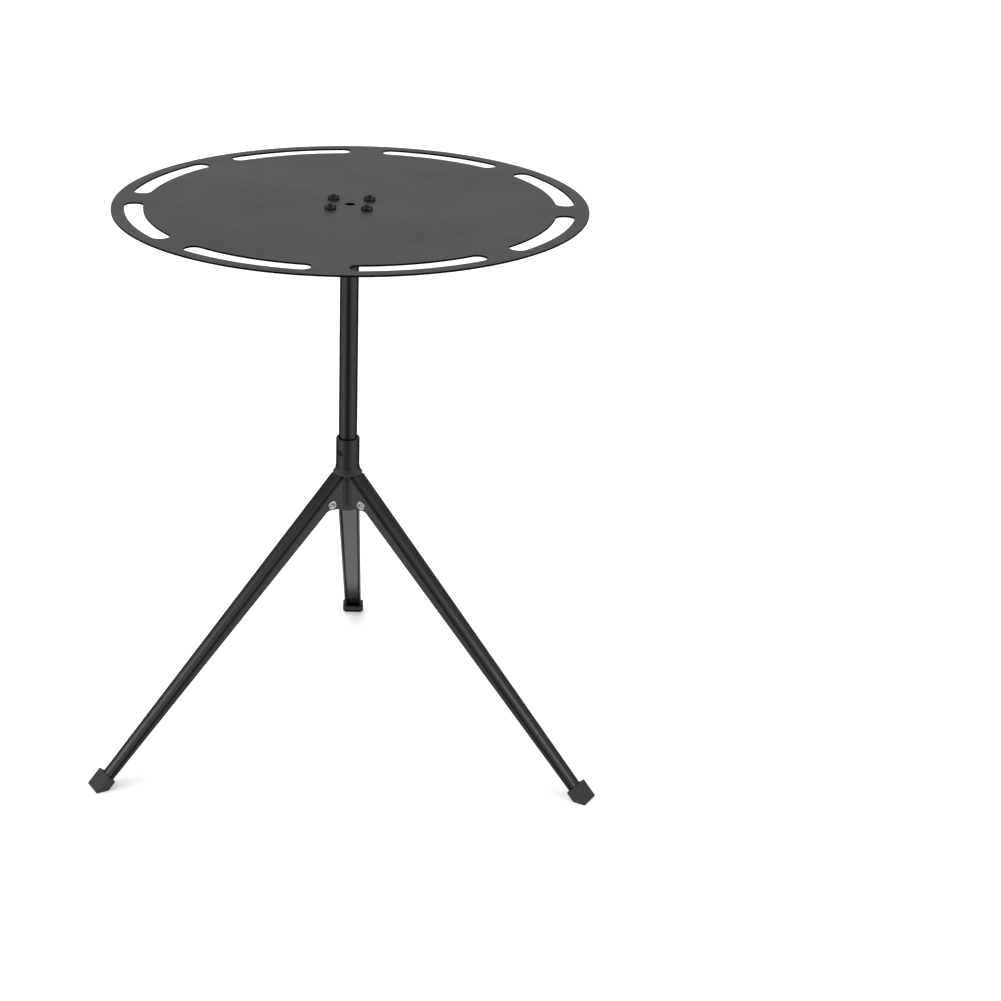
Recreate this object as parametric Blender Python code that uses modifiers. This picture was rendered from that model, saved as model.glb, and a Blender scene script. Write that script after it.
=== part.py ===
"""Camping table: a round slotted metal top screwed to a short pole, on a stand of three folding legs.

Metres, +Z up. The origin lies on the pole's axis at floor level, and one leg points along +Y.
"""

import math

import bmesh
import bpy
from mathutils import Matrix, Vector

MM = 0.001

# Fits
GAP = 0.3 * MM
PIN_GAP = 0.2 * MM
CUT_OVERRUN = 2.0 * MM
WELD = 0.001 * MM

# Facets of round shapes
TURNED_FACETS = 36
PIN_FACETS = 24
SMALL_FACETS = 20
HOLE_FACETS = 16
SHARP_ANGLE = math.radians(30.0)

# Tabletop: a round sheet with a ring of arc slots near its rim
TOP_RADIUS = 210.0 * MM
TOP_THICKNESS = 1.8 * MM
TOP_YAW = math.radians(-3.0)
TOP_RIM_FACETS = 128
TOP_CENTRE_HOLE_RADIUS = 4.3 * MM
SLOT_COUNT = 8
SLOT_RIM_WIDTH = 11.8 * MM
SLOT_WIDTH = 16.4 * MM
SLOT_SPAN = math.radians(35.6)
SLOT_CORNER_RADIUS = 7.5 * MM
SLOT_CORNER_STEPS = 4
SLOT_ARC_STEPS = 9

# Button-head screws, M6, on a square
SCREW_SQUARE = 32.0 * MM
SCREW_SHANK_RADIUS = 3.0 * MM
SCREW_HEAD_RADIUS = 5.25 * MM
SCREW_CROWN_RADIUS = 3.0 * MM
SCREW_HEAD_HEIGHT = 3.3 * MM
SCREW_HEAD_RIM = 0.5 * MM
SCREW_DOME_STEPS = 4
SCREW_TIP_CHAMFER = 0.6 * MM
SCREW_TIP_REACH = 1.5 * MM
SCREW_SOCKET_FLATS = 4.0 * MM
SCREW_SOCKET_DEPTH = 1.9 * MM
SCREW_TURN_STEP = math.radians(17.0)

# Flange under the tabletop, with the boss that takes the pole's upper stud
FLANGE_MARGIN = 7.4 * MM
FLANGE_THICKNESS = 3.5 * MM
FLANGE_BOSS_RADIUS = 11.0 * MM
FLANGE_BOSS_LENGTH = 7.8 * MM
FLANGE_EDGE_ROUND = 0.8 * MM
FLANGE_FILLET = 2.0 * MM

# Pole: a tube with a plug and a threaded stud, M8, at each end
POLE_RADIUS = 8.5 * MM
POLE_WALL = 1.2 * MM
POLE_LENGTH = 240.0 * MM
PLUG_COLLAR = 28.0 * MM
PLUG_SPIGOT = 12.0 * MM
PLUG_EDGE_ROUND = 0.7 * MM
STUD_RADIUS = 4.0 * MM
STUD_NECK_CUT = 0.8 * MM
STUD_NECK_LENGTH = 1.2 * MM
STUD_LENGTH = 10.0 * MM
STUD_TIP_CHAMFER = 0.8 * MM

# Legs: tapered pressed channels, open towards the pole, hung on rivets
LEG_AZIMUTHS = [math.radians(a) for a in (90.0, 210.0, 330.0)]
LEG_SLOPE = math.radians(46.9)
PIVOT_RADIUS = 21.3 * MM
PIVOT_HEIGHT = 241.6 * MM
LEG_SHEET = 1.5 * MM
LEG_WIDTH_TOP = 20.6 * MM
LEG_WIDTH_FOOT = 17.1 * MM
LEG_BEND_RADIUS = 4.5 * MM
LEG_BEND_STEPS = 4
LEG_WEB_TO_PIVOT = 11.1 * MM
LEG_STRAIGHT_BELOW_PIVOT = 14.0 * MM
LEG_SIDE_BELOW_PIVOT = 0.9 * MM
LEG_SIDE_AT_FOOT = 0.4 * MM
LUG_CORE_CLEARANCE = 1.5 * MM
LUG_BOTTOM_DROP = 5.5 * MM
LUG_CORNER_CUT = 1.8 * MM

# Hub: sleeve, collar ring, cone, core and three tongues, from the core's bottom up
CORE_DROP = 10.6 * MM
CORE_STEP = 2.1 * MM
CORE_EDGE_ROUND = 0.8 * MM
CONE_RISE = 26.4 * MM
CONE_RIM = 0.7 * MM
CONE_LENGTH = 3.4 * MM
CONE_STEP = 2.3 * MM
RING_LENGTH = 2.4 * MM
RING_STEP = 0.5 * MM
RING_CHAMFER = 0.4 * MM
SLEEVE_WALL = 2.1 * MM
SLEEVE_LENGTH = 28.2 * MM
SLEEVE_DEPTH = 34.0 * MM
SLEEVE_LIP_ROUND = 1.2 * MM
STUD_WELL_SPARE = 2.0 * MM
TONGUE_ROOT_OVERLAP = 3.0 * MM
TONGUE_BOTTOM_DROP = 5.5 * MM
TONGUE_NOSE_STEPS = 8

# Set screw in the sleeve's wall
SET_SCREW_RADIUS = 2.8 * MM
SET_SCREW_DROP = 13.2 * MM
SET_SCREW_AZIMUTH = math.radians(231.5)
SET_SCREW_RECESS = 0.8 * MM
SET_SCREW_SOCKET_FLATS = 2.5 * MM
SET_SCREW_SOCKET_DEPTH = 0.7 * MM

# Rivets with a dimple in each head
RIVET_SHANK_RADIUS = 2.6 * MM
RIVET_DIMPLE_RADIUS = 1.6 * MM
RIVET_DIMPLE_DEPTH = 1.3 * MM
RIVET_HEAD_RADIUS = 4.4 * MM
RIVET_HEAD_HEIGHT = 1.1 * MM
RIVET_LIP_STEPS = 5

# Feet: caps pushed over the legs' ends and cut level with the floor
FOOT_SIDE_WALL = 1.9 * MM
FOOT_OUTER_WALL = 2.1 * MM
FOOT_LENGTH_OUTER = 19.6 * MM
FOOT_GRIP = 8.8 * MM
FOOT_EDGE_ROUND = 0.7 * MM

# Sizes that follow from the ones above
SLOT_OUTER_RADIUS = TOP_RADIUS - SLOT_RIM_WIDTH
SLOT_INNER_RADIUS = SLOT_OUTER_RADIUS - SLOT_WIDTH
FLANGE_RADIUS = SCREW_SQUARE / math.sqrt(2.0) + FLANGE_MARGIN
STUD_NECK_RADIUS = STUD_RADIUS - STUD_NECK_CUT
SLEEVE_RADIUS = POLE_RADIUS + GAP + SLEEVE_WALL
RING_RADIUS = SLEEVE_RADIUS + RING_STEP
CONE_RADIUS = RING_RADIUS + CONE_STEP
CORE_RADIUS = SLEEVE_RADIUS - CORE_STEP
LUG_END_RADIUS = CORE_RADIUS + LUG_CORE_CLEARANCE
LEG_DEPTH_LUG_END = LEG_WEB_TO_PIVOT + LEG_SIDE_BELOW_PIVOT
LEG_DEPTH_FOOT = LEG_BEND_RADIUS + LEG_SIDE_AT_FOOT

# Levels, counted up from the leg hinges through the hub and the pole to the tabletop
CORE_BOTTOM_HEIGHT = PIVOT_HEIGHT - CORE_DROP
CONE_FOOT_HEIGHT = PIVOT_HEIGHT + CONE_RISE
CONE_UNDERSIDE_HEIGHT = CONE_FOOT_HEIGHT - CONE_RIM
RING_BOTTOM_HEIGHT = CONE_FOOT_HEIGHT + CONE_LENGTH
RING_TOP_HEIGHT = RING_BOTTOM_HEIGHT + RING_LENGTH
SLEEVE_TOP_HEIGHT = RING_TOP_HEIGHT + SLEEVE_LENGTH
SLEEVE_FLOOR_HEIGHT = SLEEVE_TOP_HEIGHT - SLEEVE_DEPTH
SET_SCREW_HEIGHT = SLEEVE_TOP_HEIGHT - SET_SCREW_DROP
POLE_BOTTOM_HEIGHT = SLEEVE_FLOOR_HEIGHT + GAP
POLE_TOP_HEIGHT = POLE_BOTTOM_HEIGHT + POLE_LENGTH
BOSS_BOTTOM_HEIGHT = POLE_TOP_HEIGHT + GAP
FLANGE_BOTTOM_HEIGHT = BOSS_BOTTOM_HEIGHT + FLANGE_BOSS_LENGTH
FLANGE_TOP_HEIGHT = FLANGE_BOTTOM_HEIGHT + FLANGE_THICKNESS
TOP_HEIGHT = FLANGE_TOP_HEIGHT + GAP + TOP_THICKNESS

PARTS_NAME = "camping_table"
CUTTERS_NAME = "camping_table_cutters"


# Scene

def clear_scene():
    for obj in list(bpy.data.objects):
        bpy.data.objects.remove(obj, do_unlink=True)
    for collection in list(bpy.data.collections):
        bpy.data.collections.remove(collection)


def new_collection(name):
    collection = bpy.data.collections.new(name)
    bpy.context.scene.collection.children.link(collection)
    return collection


def material(name, colour, roughness, metallic):
    mat = bpy.data.materials.new(name)
    mat.use_nodes = True
    shader = mat.node_tree.nodes["Principled BSDF"]
    shader.inputs["Base Color"].default_value = (*colour, 1.0)
    shader.inputs["Roughness"].default_value = roughness
    shader.inputs["Metallic"].default_value = metallic
    mat.diffuse_color = (*colour, 1.0)
    return mat


def link_part(name, mesh, mat):
    obj = bpy.data.objects.new(name, mesh)
    bpy.data.collections[PARTS_NAME].objects.link(obj)
    obj.data.materials.clear()
    obj.data.materials.append(mat)
    return obj


def link_cutter(name, mesh):
    obj = bpy.data.objects.new(name, mesh)
    bpy.data.collections[CUTTERS_NAME].objects.link(obj)
    obj.hide_render = True
    obj.display_type = "WIRE"
    return obj


def boolean(obj, tool, operation="DIFFERENCE"):
    mod = obj.modifiers.new(f"{operation.lower()} {tool.name}", "BOOLEAN")
    mod.operation = operation
    mod.solver = "EXACT"
    mod.object = tool
    return mod


def evaluated_mesh(obj):
    bpy.context.view_layer.update()
    graph = bpy.context.evaluated_depsgraph_get()
    return bpy.data.meshes.new_from_object(obj.evaluated_get(graph), depsgraph=graph)


def shade(mesh):
    mesh.shade_smooth()
    mesh.set_sharp_from_angle(angle=SHARP_ANGLE)


# Shapes

def arc(centre, radius, start, end, steps):
    """Points of an arc in a plane, both ends included, angles in degrees."""
    points = []
    for i in range(steps + 1):
        angle = math.radians(start + (end - start) * i / steps)
        points.append((centre[0] + radius * math.cos(angle), centre[1] + radius * math.sin(angle)))
    return points


def turned(name, profile, segments):
    """Mesh of a closed profile of (radius, height) points turned about Z, from the outer side's top down."""
    mesh = bpy.data.meshes.new(name)
    bm = bmesh.new()
    verts = [bm.verts.new((radius, 0.0, height)) for radius, height in profile]
    for i in range(len(verts)):
        if profile[i][0] > 0.0 or profile[(i + 1) % len(verts)][0] > 0.0:
            bm.edges.new((verts[i], verts[(i + 1) % len(verts)]))
    bm.to_mesh(mesh)
    bm.free()
    guide = link_cutter(f"{name}_profile", mesh)
    screw = guide.modifiers.new("turn", "SCREW")
    screw.axis = "Z"
    screw.steps = segments
    screw.render_steps = segments
    screw.use_merge_vertices = True
    screw.merge_threshold = WELD
    screw.use_normal_calculate = True
    solid = evaluated_mesh(guide)
    bpy.data.objects.remove(guide, do_unlink=True)
    solid.name = name
    bm = bmesh.new()
    bm.from_mesh(solid)
    bmesh.ops.remove_doubles(bm, verts=bm.verts, dist=WELD)
    bmesh.ops.recalc_face_normals(bm, faces=bm.faces)
    bm.to_mesh(solid)
    bm.free()
    shade(solid)
    return solid


def flat_plate(name, outlines, thickness):
    """Mesh of a flat outline with holes, centred on its own XY plane, from cyclic splines of a 2D curve."""
    curve = bpy.data.curves.new(name, "CURVE")
    curve.dimensions = "2D"
    curve.fill_mode = "BOTH"
    curve.extrude = thickness / 2
    for points in outlines:
        spline = curve.splines.new("POLY")
        spline.points.add(len(points) - 1)
        for target, (x, y) in zip(spline.points, points):
            target.co = (x, y, 0.0, 1.0)
        spline.use_cyclic_u = True
    guide = bpy.data.objects.new(name, curve)
    bpy.data.collections[CUTTERS_NAME].objects.link(guide)
    solid = evaluated_mesh(guide)
    bpy.data.objects.remove(guide, do_unlink=True)
    bm = bmesh.new()
    bm.from_mesh(solid)
    bmesh.ops.remove_doubles(bm, verts=bm.verts, dist=WELD)
    bmesh.ops.recalc_face_normals(bm, faces=bm.faces)
    bm.to_mesh(solid)
    bm.free()
    return solid


def cylinder(name, radius, length, segments):
    """Mesh of a cylinder along Z, centred on its own origin."""
    mesh = bpy.data.meshes.new(name)
    bm = bmesh.new()
    bmesh.ops.create_cone(bm, cap_ends=True, segments=segments, radius1=radius, radius2=radius, depth=length)
    bm.to_mesh(mesh)
    bm.free()
    return mesh


def hexagon_bar(name, flats, length):
    """Mesh of a hexagonal bar along Z with this width across its flats."""
    return cylinder(name, flats / math.sqrt(3.0), length, 6)


def round_edges(mesh, width, segments):
    """Rounds the mesh's sharp edges."""
    bm = bmesh.new()
    bm.from_mesh(mesh)
    edges = [e for e in bm.edges if e.calc_face_angle(0.0) > SHARP_ANGLE]
    bmesh.ops.bevel(bm, geom=edges, offset=width, segments=segments, profile=0.5, affect="EDGES")
    bm.to_mesh(mesh)
    bm.free()


def circle_points(centre, radius, count):
    return arc(centre, radius, 0.0, 360.0 * (count - 1) / count, count - 1)


# Tabletop

def slot_outline(middle):
    """Ring sector with rounded corners, its mid angle in radians."""
    inset = SLOT_CORNER_RADIUS
    points = []
    corners = (
        (SLOT_OUTER_RADIUS - inset, 1.0, 0.0, 90.0),
        (SLOT_INNER_RADIUS + inset, 1.0, 90.0, 180.0),
        (SLOT_INNER_RADIUS + inset, -1.0, 180.0, 270.0),
        (SLOT_OUTER_RADIUS - inset, -1.0, 270.0, 360.0),
    )
    for index, (radius, side, start, end) in enumerate(corners):
        turn = middle + side * (SLOT_SPAN / 2 - math.asin(inset / radius))
        centre = (radius * math.cos(turn), radius * math.sin(turn))
        lean = math.degrees(turn)
        points += arc(centre, inset, lean + start, lean + end, SLOT_CORNER_STEPS)
        edge_radius = {1: SLOT_INNER_RADIUS, 3: SLOT_OUTER_RADIUS}.get(index)
        if edge_radius is None:
            continue
        other = middle - side * (SLOT_SPAN / 2 - math.asin(inset / radius))
        for i in range(1, SLOT_ARC_STEPS):
            angle = turn + (other - turn) * i / SLOT_ARC_STEPS
            points.append((edge_radius * math.cos(angle), edge_radius * math.sin(angle)))
    return points


def screw_places():
    half = SCREW_SQUARE / 2
    return [(half, half), (-half, half), (-half, -half), (half, -half)]


def make_tabletop(mat):
    outlines = [circle_points((0.0, 0.0), TOP_RADIUS, TOP_RIM_FACETS)]
    outlines.append(circle_points((0.0, 0.0), TOP_CENTRE_HOLE_RADIUS, HOLE_FACETS))
    for place in screw_places():
        outlines.append(circle_points(place, SCREW_SHANK_RADIUS + GAP, HOLE_FACETS))
    for index in range(SLOT_COUNT):
        outlines.append(slot_outline(2 * math.pi * (index + 0.5) / SLOT_COUNT))
    top = link_part("tabletop_plate", flat_plate("tabletop_plate", outlines, TOP_THICKNESS), mat)
    top.location = (0.0, 0.0, TOP_HEIGHT - TOP_THICKNESS / 2)
    top.rotation_euler = (0.0, 0.0, TOP_YAW)
    shade(top.data)
    return top


def make_flange(mat):
    bore = STUD_RADIUS + GAP
    edge = FLANGE_EDGE_ROUND
    fillet_centre = (FLANGE_BOSS_RADIUS + FLANGE_FILLET, FLANGE_BOTTOM_HEIGHT - FLANGE_FILLET)
    profile = [(FLANGE_RADIUS, FLANGE_TOP_HEIGHT)]
    profile += arc((FLANGE_RADIUS - edge, FLANGE_BOTTOM_HEIGHT + edge), edge, 0.0, -90.0, 2)
    profile += arc(fillet_centre, FLANGE_FILLET, 90.0, 180.0, 2)
    profile.append((FLANGE_BOSS_RADIUS, BOSS_BOTTOM_HEIGHT + edge))
    profile.append((FLANGE_BOSS_RADIUS - edge, BOSS_BOTTOM_HEIGHT))
    profile += [(bore, BOSS_BOTTOM_HEIGHT), (bore, FLANGE_TOP_HEIGHT)]
    flange = link_part("top_flange", turned("top_flange", profile, TURNED_FACETS), mat)
    flange.rotation_euler = (0.0, 0.0, TOP_YAW)
    hole_length = FLANGE_THICKNESS + 2 * CUT_OVERRUN
    for index, (x, y) in enumerate(screw_places(), start=1):
        mesh = cylinder(f"flange_screw_hole_{index}", SCREW_SHANK_RADIUS + GAP, hole_length, HOLE_FACETS)
        hole = link_cutter(mesh.name, mesh)
        hole.location = (x, y, FLANGE_TOP_HEIGHT - FLANGE_THICKNESS / 2)
        hole.parent = flange
        boolean(flange, hole)
    return flange


def make_flange_screws(mat):
    seat = TOP_HEIGHT + GAP
    tip = FLANGE_BOTTOM_HEIGHT - SCREW_TIP_REACH
    crown = seat + SCREW_HEAD_HEIGHT
    profile = [(0.0, crown), (SCREW_CROWN_RADIUS, crown)]
    for i in range(1, SCREW_DOME_STEPS + 1):
        angle = math.pi / 2 * i / SCREW_DOME_STEPS
        radius = SCREW_CROWN_RADIUS + (SCREW_HEAD_RADIUS - SCREW_CROWN_RADIUS) * math.sin(angle)
        height = seat + SCREW_HEAD_RIM + (SCREW_HEAD_HEIGHT - SCREW_HEAD_RIM) * math.cos(angle)
        profile.append((radius, height))
    profile += [(SCREW_HEAD_RADIUS, seat), (SCREW_SHANK_RADIUS, seat)]
    profile += [(SCREW_SHANK_RADIUS, tip + SCREW_TIP_CHAMFER), (SCREW_SHANK_RADIUS - SCREW_TIP_CHAMFER, tip)]
    profile.append((0.0, tip))
    shift = Matrix.Translation((0.0, 0.0, -seat))
    body = turned("flange_screw", profile, SMALL_FACETS)
    body.transform(shift)
    socket_mesh = hexagon_bar("flange_screw_socket", SCREW_SOCKET_FLATS, 2 * SCREW_SOCKET_DEPTH)
    yaw = Matrix.Rotation(TOP_YAW, 4, "Z")
    for index, (x, y) in enumerate(screw_places(), start=1):
        screw = link_part(f"flange_screw_{index}", body, mat)
        screw.location = yaw @ Vector((x, y, seat))
        screw.rotation_euler = (0.0, 0.0, TOP_YAW + SCREW_TURN_STEP * index)
        socket = link_cutter(f"flange_screw_socket_{index}", socket_mesh)
        socket.location = (0.0, 0.0, SCREW_HEAD_HEIGHT)
        socket.parent = screw
        boolean(screw, socket)


# Pole

def plug_profile():
    """Plug seen with its stud pointing down and the collar's outer face at height zero."""
    stud_tip = -STUD_LENGTH
    spigot_radius = POLE_RADIUS - POLE_WALL - GAP
    edge = PLUG_EDGE_ROUND
    profile = [(0.0, PLUG_COLLAR + PLUG_SPIGOT), (spigot_radius - edge, PLUG_COLLAR + PLUG_SPIGOT)]
    profile += [(spigot_radius, PLUG_COLLAR + PLUG_SPIGOT - edge), (spigot_radius, PLUG_COLLAR)]
    profile += [(POLE_RADIUS, PLUG_COLLAR)]
    profile += arc((POLE_RADIUS - edge, edge), edge, 0.0, -90.0, 2)
    profile += [(STUD_NECK_RADIUS, 0.0), (STUD_NECK_RADIUS, -STUD_NECK_LENGTH)]
    profile += [(STUD_RADIUS, -STUD_NECK_LENGTH - (STUD_RADIUS - STUD_NECK_RADIUS))]
    profile += [(STUD_RADIUS, stud_tip + STUD_TIP_CHAMFER), (STUD_RADIUS - STUD_TIP_CHAMFER, stud_tip)]
    profile.append((0.0, stud_tip))
    return profile


def make_pole(tube_mat, plug_mat):
    mesh = turned("pole_plug", plug_profile(), TURNED_FACETS)
    lower = link_part("pole_lower_plug", mesh, plug_mat)
    lower.location = (0.0, 0.0, POLE_BOTTOM_HEIGHT)
    upper = link_part("pole_upper_plug", mesh.copy(), plug_mat)
    upper.location = (0.0, 0.0, POLE_TOP_HEIGHT)
    upper.rotation_euler = (math.pi, 0.0, 0.0)
    top = POLE_TOP_HEIGHT - PLUG_COLLAR - GAP
    bottom = POLE_BOTTOM_HEIGHT + PLUG_COLLAR + GAP
    inner = POLE_RADIUS - POLE_WALL
    profile = [(POLE_RADIUS, top), (POLE_RADIUS, bottom), (inner, bottom), (inner, top)]
    link_part("pole_tube", turned("pole_tube", profile, TURNED_FACETS), tube_mat)


# Hub

def hub_profile():
    lip = SLEEVE_LIP_ROUND
    profile = [(0.0, SLEEVE_TOP_HEIGHT)]
    profile += arc((SLEEVE_RADIUS - lip, SLEEVE_TOP_HEIGHT - lip), lip, 90.0, 0.0, 3)
    profile += [(SLEEVE_RADIUS, RING_TOP_HEIGHT + RING_CHAMFER), (RING_RADIUS, RING_TOP_HEIGHT)]
    profile += [(RING_RADIUS, RING_BOTTOM_HEIGHT), (CONE_RADIUS, CONE_FOOT_HEIGHT)]
    profile += [(CONE_RADIUS, CONE_UNDERSIDE_HEIGHT), (CORE_RADIUS, CONE_UNDERSIDE_HEIGHT)]
    edge_centre = (CORE_RADIUS - CORE_EDGE_ROUND, CORE_BOTTOM_HEIGHT + CORE_EDGE_ROUND)
    profile += arc(edge_centre, CORE_EDGE_ROUND, 0.0, -90.0, 2)
    profile.append((0.0, CORE_BOTTOM_HEIGHT))
    return profile


def hub_bore_profile():
    """The pole's seat, with the well for its stud below it."""
    bore = POLE_RADIUS + GAP
    well = STUD_RADIUS + GAP
    well_floor = SLEEVE_FLOOR_HEIGHT - STUD_LENGTH - STUD_WELL_SPARE
    mouth = SLEEVE_TOP_HEIGHT + CUT_OVERRUN
    profile = [(0.0, mouth), (bore, mouth), (bore, SLEEVE_FLOOR_HEIGHT)]
    profile += [(well, SLEEVE_FLOOR_HEIGHT), (well, well_floor), (0.0, well_floor)]
    return profile


def leg_direction():
    """Unit vector down the opened leg, as (outwards, up)."""
    return (math.cos(LEG_SLOPE), -math.sin(LEG_SLOPE))


def web_normal():
    """Unit normal of the opened leg's web, as (outwards, up)."""
    return (math.sin(LEG_SLOPE), math.cos(LEG_SLOPE))


def tongue_outline(stop):
    """Side outline of a tongue as (outwards, up).

    Its slanted face lies at the stop's distance from the pivot and runs into a round nose and a level foot.
    """
    along = leg_direction()
    normal = web_normal()
    root = CORE_RADIUS - TONGUE_ROOT_OVERLAP
    face_foot = (PIVOT_RADIUS + stop * normal[0], PIVOT_HEIGHT + stop * normal[1])
    climb = (face_foot[0] - root) / along[0]
    face_angle = math.degrees(math.atan2(normal[1], normal[0]))
    foot_angle = -math.degrees(math.asin(TONGUE_BOTTOM_DROP / stop))
    points = [(root, face_foot[1] - along[1] * climb)]
    points += arc((PIVOT_RADIUS, PIVOT_HEIGHT), stop, face_angle, foot_angle, TONGUE_NOSE_STEPS)
    points.append((root, PIVOT_HEIGHT - TONGUE_BOTTOM_DROP))
    return points


def upright(azimuth, radius=0.0, height=0.0):
    """Frame whose X points outwards at the azimuth, Y points up and Z lies across."""
    outwards = Vector((math.cos(azimuth), math.sin(azimuth), 0.0))
    up = Vector((0.0, 0.0, 1.0))
    across = outwards.cross(up)
    frame = Matrix((outwards, up, across)).transposed().to_4x4()
    frame.translation = outwards * radius + up * height
    return frame


def set_screw_frame():
    """Frame whose Z points out of the sleeve at the set screw."""
    turn = Matrix.Rotation(SET_SCREW_AZIMUTH, 4, "Z")
    tip = Matrix.Rotation(math.pi / 2, 4, "Y")
    return Matrix.Translation((0.0, 0.0, SET_SCREW_HEIGHT)) @ turn @ tip


def make_hub(mat):
    hub = link_part("hub", turned("hub", hub_profile(), TURNED_FACETS), mat)
    width = LEG_WIDTH_TOP - 2 * LEG_SHEET - 2 * GAP
    rib_width = LEG_WIDTH_TOP - 2 * LEG_BEND_RADIUS
    rib_stop = LEG_WEB_TO_PIVOT - LEG_SHEET - GAP
    tongue_stop = LEG_WEB_TO_PIVOT - LEG_BEND_RADIUS
    for index, azimuth in enumerate(LEG_AZIMUTHS, start=1):
        for label, stop, across in (("tongue", tongue_stop, width), ("rib", rib_stop, rib_width)):
            mesh = flat_plate(f"hub_{label}_{index}", [list(reversed(tongue_outline(stop)))], across)
            tongue = link_cutter(mesh.name, mesh)
            tongue.matrix_world = upright(azimuth)
            boolean(hub, tongue, "UNION")
    bore = link_cutter("hub_bore", turned("hub_bore", hub_bore_profile(), TURNED_FACETS))
    boolean(hub, bore)
    for index, azimuth in enumerate(LEG_AZIMUTHS, start=1):
        mesh = cylinder(f"hub_rivet_hole_{index}", RIVET_SHANK_RADIUS + PIN_GAP, LEG_WIDTH_TOP, PIN_FACETS)
        hole = link_cutter(mesh.name, mesh)
        hole.matrix_world = upright(azimuth, PIVOT_RADIUS, PIVOT_HEIGHT)
        boolean(hub, hole)
    mesh = cylinder("hub_set_screw_hole", SET_SCREW_RADIUS + GAP, SLEEVE_RADIUS, SMALL_FACETS)
    hole = link_cutter(mesh.name, mesh)
    hole.matrix_world = set_screw_frame() @ Matrix.Translation((0.0, 0.0, SLEEVE_RADIUS))
    boolean(hub, hole)
    return hub


def make_set_screw(mat):
    inner = POLE_RADIUS + GAP
    outer = SLEEVE_RADIUS - SET_SCREW_RECESS
    chamfer = SET_SCREW_RECESS
    profile = [(0.0, outer), (SET_SCREW_RADIUS - chamfer, outer), (SET_SCREW_RADIUS, outer - chamfer)]
    profile += [(SET_SCREW_RADIUS, inner), (0.0, inner)]
    screw = link_part("hub_set_screw", turned("hub_set_screw", profile, SMALL_FACETS), mat)
    screw.matrix_world = set_screw_frame()
    mesh = hexagon_bar("hub_set_screw_socket", SET_SCREW_SOCKET_FLATS, 2 * SET_SCREW_SOCKET_DEPTH)
    socket = link_cutter(mesh.name, mesh)
    socket.matrix_world = set_screw_frame() @ Matrix.Translation((0.0, 0.0, outer))
    boolean(screw, socket)


# Legs. Along a leg, x runs from the pivot to the foot, and depth is counted from the web's outer face.

def leg_place(x, depth):
    """Point of the opened leg as (outwards, up) from its distance along the leg and its depth."""
    along = leg_direction()
    normal = web_normal()
    lift = LEG_WEB_TO_PIVOT - depth
    return (PIVOT_RADIUS + along[0] * x + normal[0] * lift, PIVOT_HEIGHT + along[1] * x + normal[1] * lift)


def leg_local(outwards, up):
    """Distance along the leg and depth of a point that is given as (outwards, up)."""
    along = leg_direction()
    normal = web_normal()
    dr = outwards - PIVOT_RADIUS
    dz = up - PIVOT_HEIGHT
    return (dr * along[0] + dz * along[1], LEG_WEB_TO_PIVOT - dr * normal[0] - dz * normal[1])


def floor_reach(depth):
    """Distance along the leg at which a line at this depth meets the floor."""
    return (PIVOT_HEIGHT + math.cos(LEG_SLOPE) * (LEG_WEB_TO_PIVOT - depth)) / math.sin(LEG_SLOPE)


FOOT_MOUTH_X = floor_reach(-FOOT_OUTER_WALL - GAP) - FOOT_LENGTH_OUTER
LEG_END_X = FOOT_MOUTH_X + FOOT_GRIP
LEG_TOP_X = floor_reach(0.0) - (CONE_UNDERSIDE_HEIGHT - GAP) / math.sin(LEG_SLOPE)


def leg_stations():
    """Distances along the leg with the channel's depth and width there, from its top end to its foot."""
    lug_bottom = PIVOT_HEIGHT - LUG_BOTTOM_DROP
    peak_x, peak_depth = leg_local(LUG_END_RADIUS, lug_bottom)
    slant = math.cos(LEG_SLOPE) / math.sin(LEG_SLOPE)
    fall = math.sin(LEG_SLOPE) / math.cos(LEG_SLOPE)
    end_depth = peak_depth - (peak_x - LEG_TOP_X) * slant
    tail_x = peak_x + (peak_depth - LEG_DEPTH_LUG_END) / fall
    cut = LUG_CORNER_CUT
    stations = [
        (LEG_TOP_X, end_depth),
        (peak_x - cut, peak_depth - cut * slant),
        (peak_x, peak_depth - cut / 2),
        (peak_x + cut, peak_depth - cut * fall),
        (tail_x, LEG_DEPTH_LUG_END),
        (LEG_STRAIGHT_BELOW_PIVOT, None),
        (LEG_END_X, LEG_DEPTH_FOOT),
    ]
    sized = []
    for x, depth in stations:
        share = max(0.0, (x - tail_x) / (LEG_END_X - tail_x))
        if depth is None:
            depth = LEG_DEPTH_LUG_END + (LEG_DEPTH_FOOT - LEG_DEPTH_LUG_END) * share
        taper = max(0.0, (x - LEG_STRAIGHT_BELOW_PIVOT) / (LEG_END_X - LEG_STRAIGHT_BELOW_PIVOT))
        sized.append((x, depth, LEG_WIDTH_TOP + (LEG_WIDTH_FOOT - LEG_WIDTH_TOP) * taper))
    return sized


def channel_section(depth, width):
    """Outer face of the channel as (depth, across) points from one free edge over the web to the other."""
    half = width / 2
    bend = LEG_BEND_RADIUS
    points = [(depth, -half)]
    points += [(bend - dy, -half + bend - dx) for dx, dy in arc((0.0, 0.0), bend, 0.0, 90.0, LEG_BEND_STEPS)]
    points += [(bend - dy, half - bend + dx) for dx, dy in arc((0.0, 0.0), bend, 90.0, 0.0, LEG_BEND_STEPS)]
    points.append((depth, half))
    return points


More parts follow.
